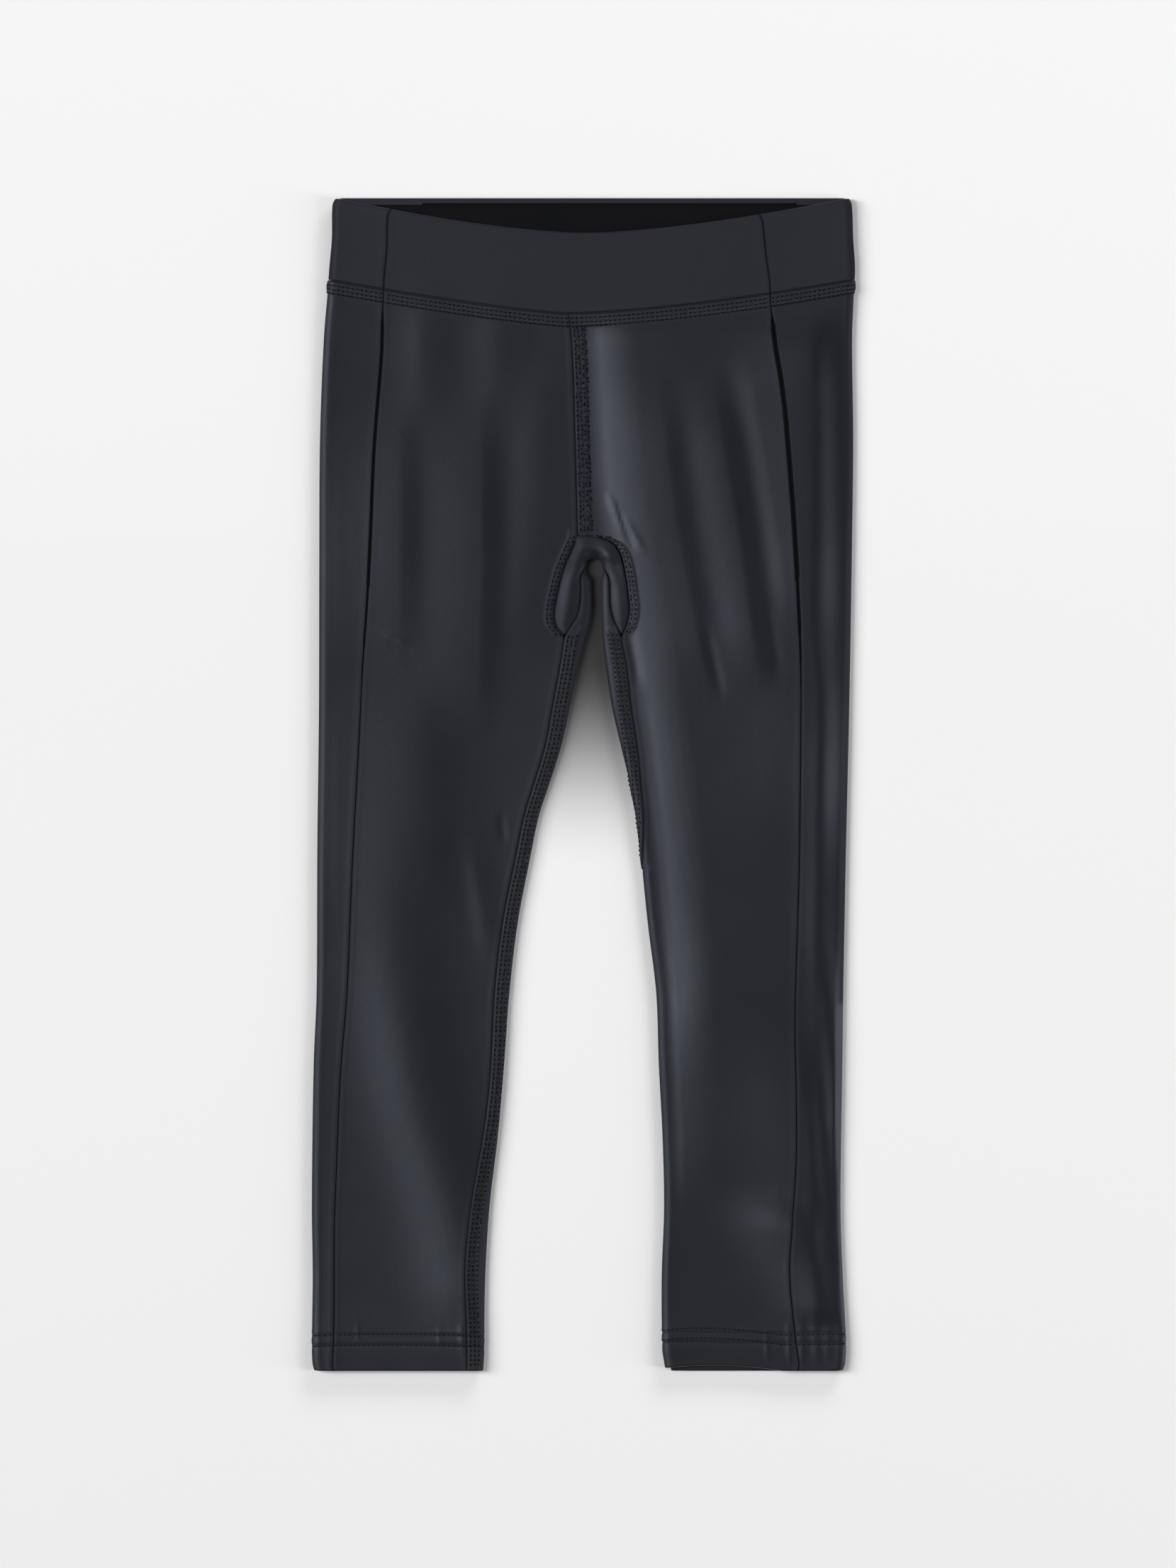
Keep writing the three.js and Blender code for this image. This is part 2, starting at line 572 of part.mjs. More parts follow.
function gussetSection(side, section) {
  const front = new THREE.Vector3(section.frontX, section.frontY, topHeight(section.frontX, section.frontY));
  const fold = new THREE.Vector3(section.foldX, section.foldY, section.foldZ);
  const back = gussetBackPoint(side, section);
  const points = [front];
  if (section.lies === 'under') {
    const crest = front.clone().lerp(fold, 0.6).setZ(topHeight(front.x, front.y) + 0.6);
    const turned = back.clone().sub(fold).setZ(0).setLength(GUSSET_UNDER_TURN).add(fold).setZ(0);
    points.push(crest, fold, turned);
  } else {
    points.push(fold);
  }
  if (section.lies === 'edge') {
    for (const way of [2.7, 1.2]) {
      points.push(roundEdge(inner[side](section.backY), outward[side], section.backY, way));
    }
  }
  points.push(back);
  const path = new THREE.CatmullRomCurve3(points, false, 'centripetal');
  const frontTrim = (1.2 * SEAM_GAP) / path.getLength();
  const backTrim = frontTrim * (section.lies === 'top' ? 1 : CORNER_TRIM);
  return range(10).map((n) => {
    const point = path.getPointAt(lerp(frontTrim, 1 - backTrim, n));
    return point.setZ(Math.max(point.z, 0));
  });
}

function gusset() {
  const left = gussetSections.left.map((section) => gussetSection('left', section)).reverse();
  const right = gussetSections.right.slice(1).map((section) => gussetSection('right', section));
  return sheet([...left, ...right], () => CLOTH);
}

const sheets = {
  waistband_front: bandFront(),
  waistband_back: bandBack(),
  waistband_facing: bandFacing(),
  gusset: gusset(),
};
for (const side of ['left', 'right']) {
  sheets[`waistband_side_${side}`] = bandSide(side);
  sheets[`front_${side}`] = legPanel(side, 'front');
  sheets[`side_${side}`] = sidePanel(side);
  sheets[`back_${side}`] = legPanel(side, 'back');
}

// Where sheets meet, row by row
const endOf = (normals, last) => (row) => normals[row][last ? normals[row].length - 1 : 0];
const startOf = (name) => endOf(sheets[name].normals, false);
const lastOf = (name) => endOf(sheets[name].normals, true);
const middleSection = gussetSections.left.length - 1;
for (const side of ['left', 'right']) {
  for (const layer of ['front', 'back']) {
    const panel = startOf(`${layer}_${side}`);
    const gussetSide = layer === 'front' ? startOf('gusset') : lastOf('gusset');
    crotchRows.forEach((_, n) => {
      shareNormal(panel(trunkRows.length + n), gussetSide(middleSection + outward[side] * n));
    });
    const sideEnd = layer === 'front' ? startOf(`side_${side}`) : lastOf(`side_${side}`);
    seamRows.forEach((_, row) => shareNormal(lastOf(`${layer}_${side}`)(row), sideEnd(row)));
  }
  legRows.forEach((_, n) => {
    const row = seamRows.length - 1 - n;
    shareNormal(startOf(`front_${side}`)(row), startOf(`back_${side}`)(row));
  });
  const bandEnd = side === 'left' ? startOf('waistband_front') : lastOf('waistband_front');
  bandRows.forEach((_, row) => shareNormal(startOf(`waistband_side_${side}`)(row), bandEnd(row)));
}

const leggings = new THREE.Group();
for (const [name, cloth] of Object.entries(sheets)) {
  const mesh = new THREE.Mesh(clothWall(cloth), name === 'waistband_facing' ? facingKnit() : knit());
  mesh.name = name;
  leggings.add(mesh);
}

// The origin goes under the middle of all that was built
const bounds = new THREE.Box3().setFromObject(leggings);
const middle = bounds.getCenter(new THREE.Vector3());
leggings.position.set(-middle.x, -middle.y, -bounds.min.z);

export default leggings;
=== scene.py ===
"""Children's sports leggings, laid flat: cloth, seams, stitching, studio and camera.

Lengths are worked out in millimetres in the frame of the solids, then scaled to metres.
"""

import math

import bpy
import numpy as np
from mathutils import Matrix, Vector


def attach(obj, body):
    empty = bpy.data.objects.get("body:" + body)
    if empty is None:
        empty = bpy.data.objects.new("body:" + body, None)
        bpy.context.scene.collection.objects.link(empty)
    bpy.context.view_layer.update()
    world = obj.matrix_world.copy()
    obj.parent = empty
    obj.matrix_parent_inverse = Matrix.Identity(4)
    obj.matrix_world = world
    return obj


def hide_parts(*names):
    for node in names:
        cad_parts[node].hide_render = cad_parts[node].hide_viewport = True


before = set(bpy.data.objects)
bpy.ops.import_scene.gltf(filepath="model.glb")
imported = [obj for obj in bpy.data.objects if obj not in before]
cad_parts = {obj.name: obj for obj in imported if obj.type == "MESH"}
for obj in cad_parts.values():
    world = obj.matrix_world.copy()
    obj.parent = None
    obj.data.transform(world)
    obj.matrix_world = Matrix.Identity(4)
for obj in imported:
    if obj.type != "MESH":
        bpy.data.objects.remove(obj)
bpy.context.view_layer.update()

MM = 0.001
SHIFT = (0.2295, -0.1359)   # from the tables' millimetres to the frame's
rng = np.random.default_rng(7)

# Cloth and seams, as in the solids
CLOTH = 1.1
BAND_CLOTH = 2.2
HEM_CLOTH = 1.9
SEAM_GAP = 0.3
SEAM_WIDTH = 7.4
SEAM_RAISE = 0.6
RIM_Y = 322.6
FRONT_DIP = 19.2
DIP_X = 0.6
DIP_POWER = 1.55
WAIST_SEAM_Y = 277.5
WAIST_DROP = 18.6
DROP_X = -10
DROP_POWER = {"left": 1.25, "right": 1.5}
DROP_FADE_Y = 195
ROLL_DEPTH = 3
HEM_Y = -322.4
HEM_DEPTH = 19.5
GAPE = {"lift": 3, "x": 71, "reach": 38, "fade": 14}
TOP_REACH, UNDER_REACH = 4, 3.2
TOP_ARC, UNDER_ARC = 5.4, 4.5
CROWN_REACH = 12
FOLD_CLEAR = 12
ARCH_Y, ARCH_LEFT, ARCH_RIGHT = 123.6, 1.3, 9.6
GUSSET_TOP_Y, GUSSET_LOW_Y = 137.3, 82
GUSSET_UNDER_TURN = 3.4

# Looks only
SOFT_SIDE_X = 100       # farther right than this, folds fade out over these lengths
SOFT_SIDE_CLEAR = (17, 22)      # at and below the first height, at and above the second
SOFT_SIDE_Y = (40, 90)
CREASE_CLEAR = 5        # creases fade out this near an edge
CREST_STEPS = (-9, -4.5, 4.5, 9)        # a fold's crest is evened out over these heights
SHOULDER_TOP = 0.8      # share of a shoulder fold's slope that is round, before its foot
SEAM_ROUND = 0.42       # cloth edges roll in at a seam
SEAM_PUFF = 0.06        # and puff up a little beside it
FLOOR_RECESS = 0.35     # underneath, the panels lie this far above their seam bands
SIDE_GROOVE_SHADE = {"left": 0.7, "right": 1.2}       # added width of the painted shade in the groove at the hip
BAND_DEPTH = 45         # waistband, from edge to seam
BAND_SHADOW = 0.75      # its seams are drawn with narrower shadows
BAND_INSET, BAND_COLUMNS = 2.4, 110     # its evenly spaced points, and where they start
BAND_ROWS = (2.5, 4.9, 7.0)     # needle rows of a covered seam, from its edge
BAND_MIDDLE = 3.5       # stitches are counted along this line
GUSSET_BAND = {"width": 5.6, "rows": (1.8, 3.6), "height": 0.5}
NO_BAND = 99            # a way in that lies beyond any band
PLAIN_WAY = {"inseam": 6, "side": 6, "waist": 10, "hem": 30}     # farther in, cloth is plain
STITCH = 2.6            # stitch length
HEM_ROWS = {"left": (19.6, 13.7), "right": (20.6, 15.2)}
WANDER, WANDER_LENGTH = 0.5, 23         # the hem rows wander by this, in waves of this length
AHEAD = 0.4             # a thread's direction is read this far along
LINT_CHANCE = 0.035     # of a speck, for each stitch
SHADE = "shade"         # the attribute of painted shade that darkens cloth and floor
CENTRE_BANDS = (("front", "right"), ("back", "left"))   # panels that carry a centre seam's band
SIDES = ("left", "right")
OUTWARD = {"left": -1, "right": 1}
OTHER = {"left": "right", "right": "left"}

# Side edges of the laid garment: y, left, right
OUTLINE = [
    (322.6, -136.6, 145.6), (319, -138.4, 147.2), (300, -138.8, 148), (284, -140.2, 149),
    (272, -141, 148.4), (245, -143.2, 147.4), (190, -145.3, 148), (123, -145.7, 147.2),
    (42, -145.9, 145.8), (-37, -146.8, 144), (-115, -147.2, 142.5), (-154, -148.8, 142),
    (-231, -149.8, 141), (-270, -149.3, 142.2), (-302, -149.7, 143.8), (-318, -149.4, 143.6),
    (-322.4, -148.4, 142.2),
]

# Inner edges of the legs: y, left, right
INNER_OUTLINE = [
    (123.6, 1.3, 9.6), (110, 3.4, 9.3), (99, 4, 9.3), (90, 3, 9.5), (80, 0.6, 10), (64, -3.6, 12),
    (42, -8, 15.4), (22, -12.4, 20), (2, -18.6, 24.8), (-17, -24.8, 28.7), (-37, -29, 31),
    (-76, -36.5, 34.9), (-115, -41.1, 39.6), (-154, -44, 41), (-193, -47.4, 43), (-232, -52, 43.9),
    (-271, -54.4, 42.6), (-310, -55, 43), (-322.4, -55.4, 44.4),
]

# How far the front side seam lies in from the side edge: y, left, right
SIDE_SEAM = [
    (322.6, 30.5, 49.5), (277, 30.3, 46.4), (245, 32, 42.2), (221, 31.6, 39), (182, 29.8, 35.6),
    (143, 28.4, 32.2), (104, 26.6, 29.4), (65, 24, 27.2), (26, 22.4, 26.4), (-52, 19.1, 25.6),
    (-130, 16.2, 26.4), (-169, 14.6, 25.2), (-208, 13.6, 24.6), (-247, 12.3, 27.2),
    (-267, 11.9, 29.2), (-306, 11.9, 27.6), (-322.4, 10.6, 24.6),
]

# Centre seams: y, front, back
CENTRE_SEAM = [(262, -8.8, 8.2), (240, -6.6, 7.8), (190, -5, 7), (137.3, -3.6, 6)]

# How far the inseam lies in from the leg's inner edge, underneath where negative: y, left, right
INSEAM = [
    (81, 11.8, 10.4), (65, 10, 11.4), (42, 9.6, 10.6), (18, 8.8, 8.6), (0, 8.6, 6),
    (-20, 8.2, 3.6), (-40, 8.2, 0.9), (-60, 8.4, -1.5), (-110, 8.4, -3), (-170, 7.4, -3.5),
    (-230, 10.2, -3.5), (-263, 11.3, -3.5), (-294, 10, -3.5), (-322.4, 9, -3.5),
]

# Height of the upper layer: y, at a folded edge, in the middle
THICKNESS = [
    (322.6, 7, 6.7), (295, 6.8, 6), (277, 6.2, 5.7), (235, 5.2, 4.5), (180, 5, 4.4), (125, 5, 4.9),
    (40, 5, 4.5), (-40, 5, 4.3), (-200, 5, 4.2), (-285, 5.3, 4.7), (-303, 6, 5.2), (-322.4, 6, 5.5),
]

# Soft folds of the upper layer, down from the top end: the crest's x and y at a few places, how
# far each slope reaches to its left and right, its height, how slowly its ends fade, and whether
# its left slope is a broad shoulder that is steepest at its foot
DRAPES = [
    ([(28, 268), (35, 162), (44, 110), (54, 62), (61, 14), (68, -49), (70, -91), (73, -190)],
     26, 130, 3.5, 26, 110, True),
    ([(38, 236), (50, 141), (68, 48)], 18, 8.5, 1.3, 60, 40, False),
    ([(67, 236), (82, 153), (97, 44)], 20, 9, 2.4, 60, 45, False),
    ([(90, 246), (111, 116), (115, 66)], 10, 22, 1.0, 35, 50, False),
    ([(124, 270), (128, 180), (131, 110), (137, 60)], 27, 13, 3.1, 50, 70, False),
    ([(120, 150), (128, 60), (128, -60)], 40, 26, 2.6, 90, 70, False),
    ([(150, 60), (148, -130)], 32, 10, 1.5, 60, 60, True),
    ([(78, -60), (74, -140), (72, -250)], 26, 90, 1.8, 70, 60, True),
    ([(112, -120), (126, -215), (138, -266)], 32, 9, 2.2, 60, 30, False),
    ([(98, -218), (122, -258), (146, -302)], 20, 13, 3.0, 30, 16, False),
    ([(-88, 290), (-89, 176)], 10, 14, 0.8, 50, 80, False),
    ([(-47, 290), (-48, 176)], 12, 14, 0.7, 50, 80, False),
    ([(-102, 224), (-103, 50)], 26, 10, 1.5, 80, 80, False),
    ([(-58, 226), (-57, 120), (-60, 14)], 36, 9.5, 2.0, 80, 90, False),
    ([(-24, 250), (-27, 150), (-42, 50)], 14, 16, 0.7, 60, 60, False),
    ([(-96, 70), (-88, -90)], 36, 22, 1.9, 60, 70, False),
    ([(-112, 20), (-102, -112), (-91, -175), (-71, -238), (-56, -318)],
     22, 24, 3.1, 180, 44, False),
    ([(-63, -20), (-50, -110)], 6, 8, 0.5, 36, 40, False),
]

# Short creases and puckers of the upper layer: x0, y0, x1, y1, half width, height
CREASES = [
    (13, 160, 22, 139, 2, 0.35),
    (18, 152, 27, 130, 1.6, -0.3),
    (22, 146, 33, 128, 2.2, 0.25),
    (24, 90, 30, 55, 3, -0.4),
    (66, 88, 75, 50, 3.4, -0.45),
    (100, 96, 107, 60, 3.6, -0.3),
    (-111, 84, -96, 77, 2.2, 0.16),
    (-108, 79, -94, 73, 2, -0.14),
    (-46, -16, -44, -32, 2.4, -0.2),
    (134, -92, 140, -216, 6, 1.6),
    (112, -296, 113, -318, 1.3, 0.28),
    (119, -292, 120, -317, 1.2, 0.3),
    (126, -290, 128, -318, 1.4, 0.3),
    (134, -296, 134, -316, 1.2, 0.22),
    (100, -300, 101, -318, 1.2, 0.2),
    (-68, -296, -67, -312, 1.6, 0.22),
    (-80, -298, -79, -310, 1.4, 0.16),
    (-125, -296, -124, -306, 1.2, 0.14),
]

# Creases of the lower layer, seen from behind: x0, y0, x1, y1, half width, depth
BACK_CREASES = [
    (-30, 205, -62, -60, 9, 0.35),
    (44, 210, 70, -30, 10, 0.35),
    (92, 190, 100, 40, 7, 0.3),
    (-95, 200, -92, 20, 8, 0.3),
    (-12, 190, -6, 142, 3.5, 0.3),
    (24, 186, 16, 142, 3, 0.28),
    (-70, -40, -100, -230, 9, 0.35),
    (78, -60, 96, -250, 9, 0.35),
    (-85, -265, -70, -300, 5, 0.25),
    (66, -255, 90, -298, 5, 0.25),
]

# Sections of the gusset, from the middle down each leg:
# front x, front y, fold x, fold y, fold z, back x, back y, where the back edge lies
GUSSET = {
    "left": [
        (-3.6, 137.3, 5.2, 124.1, 2.6, 6, 139, "under"),
        (-5.6, 132.6, 4.2, 124, 2.6, 3.7, 133.6, "under"),
        (-8, 127.2, 3.2, 123.6, 2.7, 1.5, 128.2, "under"),
        (-10.6, 121.4, -3.4, 120.4, 5.7, 1.6, 121.8, "edge"),
        (-12.6, 114.8, -5.6, 114.4, 6.2, -1.7, 114.2, "top"),
        (-14.3, 108, -7.2, 107.8, 6.3, -1.8, 107.4, "top"),
        (-16.1, 99.3, -8.4, 99.3, 6.2, -2.3, 99.3, "top"),
        (-16.8, 92, -9.6, 92.4, 6, -4, 92.4, "top"),
        (-15.4, 86.6, -10.8, 87.2, 5.7, -7, 87.6, "top"),
        (-11.6, 82.4, -10.8, 82.5, 5.3, -10, 82.6, "top"),
    ],
    "right": [
        (-3.6, 137.3, 5.2, 124.1, 2.6, 6, 139, "under"),
        (6.2, 136.8, 6.8, 124.1, 2.6, 7.6, 135.6, "under"),
        (15.4, 133.2, 7.7, 123.9, 2.6, 8.8, 130.6, "under"),
        (19.4, 128, 8.4, 123.4, 2.7, 9.6, 126.6, "under"),
        (21.6, 121.4, 13.4, 119.6, 5.7, 9.3, 121.2, "edge"),
        (22.9, 114, 16.6, 113.6, 6.2, 13.3, 113.4, "top"),
        (23.9, 107, 18.6, 106.8, 6.3, 13.8, 106.6, "top"),
        (24.9, 97, 19.6, 97.2, 6.2, 14.3, 97.4, "top"),
        (23.7, 88.6, 19.9, 89.4, 5.8, 16.2, 90, "top"),
        (21.4, 83.2, 20.5, 83.4, 5.4, 19.6, 83.6, "top"),
    ],
}


def lerp(a, b, t):
    return a + (b - a) * t


def smooth(x, low, high):
    t = np.clip((np.asarray(x, float) - low) / (high - low), 0, 1)
    return t * t * (3 - 2 * t)


def bump(x, middle, half):
    """A soft rise, one high in the middle."""
    return np.exp(-(((x - middle) / half) ** 2))


def cubic(t):
    """Weights of a cubic curve's first value, first slope and last slope."""
    return 2 * t**3 - 3 * t**2 + 1, t**3 - 2 * t**2 + t, t**3 - t**2


def through(y, values, slope, at):
    """Smooth curves through values at falling heights, read at other heights."""
    n = np.clip(np.searchsorted(-y, -at, side="right") - 1, 0, len(y) - 2)
    wide = (...,) + (None,) * (values.ndim - 1)
    span = (y[n + 1] - y[n])[wide]
    keep, leave, arrive = cubic((at - y[n])[wide] / span)
    bend = leave * slope[n] + arrive * slope[n + 1]
    return keep * values[n] + (1 - keep) * values[n + 1] + span * bend


def column(rows, key):
    """A smooth curve through one column of a table, read by height."""
    y, v = (np.array([row[k] for row in rows], float) for k in (0, key))
    between = (v[1:] - v[:-1]) / (y[1:] - y[:-1])
    across = (v[2:] - v[:-2]) / (y[2:] - y[:-2])
    slope = np.concatenate([between[:1], across, between[-1:]])
    return lambda at: through(y, v, slope, np.clip(np.asarray(at, float), y[-1], y[0]))


def pair(rows):
    return {"left": column(rows, 1), "right": column(rows, 2)}


outer = pair(OUTLINE)
inner = pair(INNER_OUTLINE)
seam_in = pair(SIDE_SEAM)
inseam_in = pair(INSEAM)
centre = {"front": column(CENTRE_SEAM, 1), "back": column(CENTRE_SEAM, 2)}
edge_height = column(THICKNESS, 1)
crown_height = column(THICKNESS, 2)


def edge_distance(x, y):
    """Way in from the nearest edge of the laid garment."""
    x, y = np.broadcast_arrays(np.asarray(x, float), np.asarray(y, float))
    from_side = np.minimum(x - outer["left"](y), outer["right"](y) - x)
    beside_arch = np.maximum(np.maximum(ARCH_LEFT - x, x - ARCH_RIGHT), 0)
    from_arch = np.hypot(beside_arch, y - ARCH_Y)
    slit_left, slit_right = inner["left"](y), inner["right"](y)
    from_slit = np.where(x < (slit_left + slit_right) / 2, slit_left - x, x - slit_right)
    return np.maximum(np.minimum(from_side, np.where(y >= ARCH_Y, from_arch, from_slit)), 0)


def ridges(rows, x, y):
    """Soft ridges, each from one end to the other, negative where they are troughs."""
    relief = np.zeros(np.broadcast(x, y).shape)
    for x0, y0, x1, y1, half, height in rows:
        share = ((x - x0) * (x1 - x0) + (y - y0) * (y1 - y0)) / ((x1 - x0) ** 2 + (y1 - y0) ** 2)
        off = np.hypot(x - lerp(x0, x1, share), y - lerp(y0, y1, share))
        fade = smooth(share, -0.15, 0.3) * (1 - smooth(share, 0.7, 1.15))
        relief += height * fade * bump(off, 0, half)
    return relief


def shoulder_form(share):
    """A rounded top that grows steeper outwards and runs out softly at its foot."""
    foot_length, foot_height, foot_slope = 0.45, 0.36, 0.72
    keep, leave, _ = cubic(np.clip((share - SHOULDER_TOP) / foot_length, 0, 1))
    foot = keep * foot_height - leave * foot_slope
    return np.where(share < SHOULDER_TOP, 1 - share**2, foot)


def drapes(x, y):
    """Soft folds with one slope steeper than the other."""
    relief = np.zeros(np.broadcast(x, y).shape)
    for points, left, right, height, fade_top, fade_low, shoulder in DRAPES:
        path = np.array(points, float)[::-1]
        top, low = path[-1, 1], path[0, 1]
        crest = np.interp(y, path[:, 1], path[:, 0])
        for step in CREST_STEPS:
            crest = crest + np.interp(y + step, path[:, 1], path[:, 0])
        crest = crest / (len(CREST_STEPS) + 1)
        lean = (path[-1, 0] - path[0, 0]) / (top - low)
        off = (x - crest) / math.hypot(1, lean)
        share = np.abs(off) / np.where(off < 0, left, right)
        form = bump(share, 0, 1)
        if shoulder:
            form = np.where(off < 0, shoulder_form(share), form)
        fade = smooth(y, low, low + fade_low) * (1 - smooth(y, top - fade_top, top))
        relief += height * fade * form
    return relief


def roll(distance, reach):
    return np.sqrt(1 - (1 - np.clip(distance / reach, 0, 1)) ** 2)


def top_height(x, y):
    distance = edge_distance(x, y)
    edge = edge_height(y)
    rise = (crown_height(y) - edge) * (1 - np.exp(-distance / CROWN_REACH))
    soft_side = lerp(*SOFT_SIDE_CLEAR, smooth(y, *SOFT_SIDE_Y))
    clear = smooth(distance, 0, np.where(x > SOFT_SIDE_X, soft_side, FOLD_CLEAR))
    crisp = smooth(distance, 0, CREASE_CLEAR)
    height = edge + rise + drapes(x, y) * clear + ridges(CREASES, x, y) * crisp
    return edge / 2 + (height - edge / 2) * roll(distance, TOP_REACH)


def top_normal(x, y, step=0.2):
    """The upper layer's normal, from its height."""
    across = (top_height(x + step, y) - top_height(x - step, y)) / (2 * step)
    down = (top_height(x, y + step) - top_height(x, y - step)) / (2 * step)
    normal = np.stack([-across, -down, np.ones(across.shape)], axis=-1)
    return normal / np.linalg.norm(normal, axis=-1, keepdims=True)


def under_height(distance, y):
    return edge_height(y) / 2 * (1 - roll(distance, UNDER_REACH))


def way_round(distance):
    """Way round a folded edge from its outermost point, from the distance in from that edge."""
    distance = np.asarray(distance, float)
    reach = np.where(distance < 0, UNDER_REACH, TOP_REACH)
    arc = np.where(distance < 0, UNDER_ARC, TOP_ARC)
    flat = np.abs(distance)
    turned = arc * np.arccos(1 - np.minimum(flat / reach, 1)) / (math.pi / 2)
    return np.sign(distance) * np.where(flat < reach, turned, arc + flat - reach)


def round_edge(edge_x, inward, y, way):
    """Points that lie that way round an edge: over the top, or underneath where negative."""
    way, y = np.broadcast_arrays(np.asarray(way, float), np.asarray(y, float))
    reach = np.where(way < 0, UNDER_REACH, TOP_REACH)
    arc = np.where(way < 0, UNDER_ARC, TOP_ARC)
    flat = np.abs(way)
    turned = reach * (1 - np.cos(np.minimum(flat / arc, 1) * math.pi / 2))
    distance = np.where(flat < arc, turned, reach + flat - arc)
    x = edge_x + inward * distance
    z = np.where(way < 0, under_height(distance, y), top_height(x, y))
    return np.stack([x, y, z], axis=-1)


def share_out(x, middle, y):
    """Share of the way out from a middle to the side edge at that height."""
    reach = np.where(x < middle, middle - outer["left"](y), outer["right"](y) - middle)
    return np.clip(np.abs(x - middle) / reach, 0, 1)


def front_drop(x):
    share = share_out(x, DROP_X, WAIST_SEAM_Y)
    power = np.where(x < DROP_X, DROP_POWER["left"], DROP_POWER["right"])
    return WAIST_DROP * (1 - share**power)


def front_rim_y(x):
    return RIM_Y - FRONT_DIP * (1 - share_out(x, DIP_X, RIM_Y) ** DIP_POWER)


def drop_fade(y):
    return smooth(y, DROP_FADE_Y, WAIST_SEAM_Y)


def gape_lift(x, y):
    across = np.clip(1 - ((x - GAPE["x"]) / GAPE["reach"]) ** 2, 0, 1)
    return GAPE["lift"] * across * (1 - smooth(y, HEM_Y, HEM_Y + GAPE["fade"]))


def catmull(points, count_per_span=24):
    """A centripetal curve through a few points, as many finely spaced points."""
    p = np.asarray(points, float)
    p = np.vstack([2 * p[0] - p[1], p, 2 * p[-1] - p[-2]])
    out = []
    for n in range(1, len(p) - 2):
        a, b, c, d = p[n - 1], p[n], p[n + 1], p[n + 2]
        ta = max(np.linalg.norm(b - a), 1e-6) ** 0.5
        tb = max(np.linalg.norm(c - b), 1e-6) ** 0.5
        tc = max(np.linalg.norm(d - c), 1e-6) ** 0.5
        start = ((b - a) / ta - (c - a) / (ta + tb) + (c - b) / tb) * tb
        end = ((c - b) / tb - (d - b) / (tb + tc) + (d - c) / tc) * tb
        t = np.linspace(0, 1, count_per_span, endpoint=False)[:, None]
        keep, leave, arrive = cubic(t)
        out.append(keep * b + (1 - keep) * c + leave * start + arrive * end)
    out.append(p[-2][None, :])
    return np.vstack(out)


def steps(points, axis):
    """Lengths from each point to the next one."""
    return np.linalg.norm(np.diff(points, axis=axis), axis=-1)


def along(path):
    """Length from the path's start to each of its points."""
    return np.concatenate([[0], np.cumsum(steps(path, 0))])


def resample(path, ways):
    length = along(path)
    return np.stack([np.interp(ways, length, path[:, k]) for k in range(3)], axis=-1)


def blend_rows(y, rows, fine_y):
    """Rows of points at other heights, on smooth curves through the given rows."""
    rows = np.asarray(rows, float)
    return through(y, rows, np.gradient(rows, y, axis=0), fine_y)


# Shells


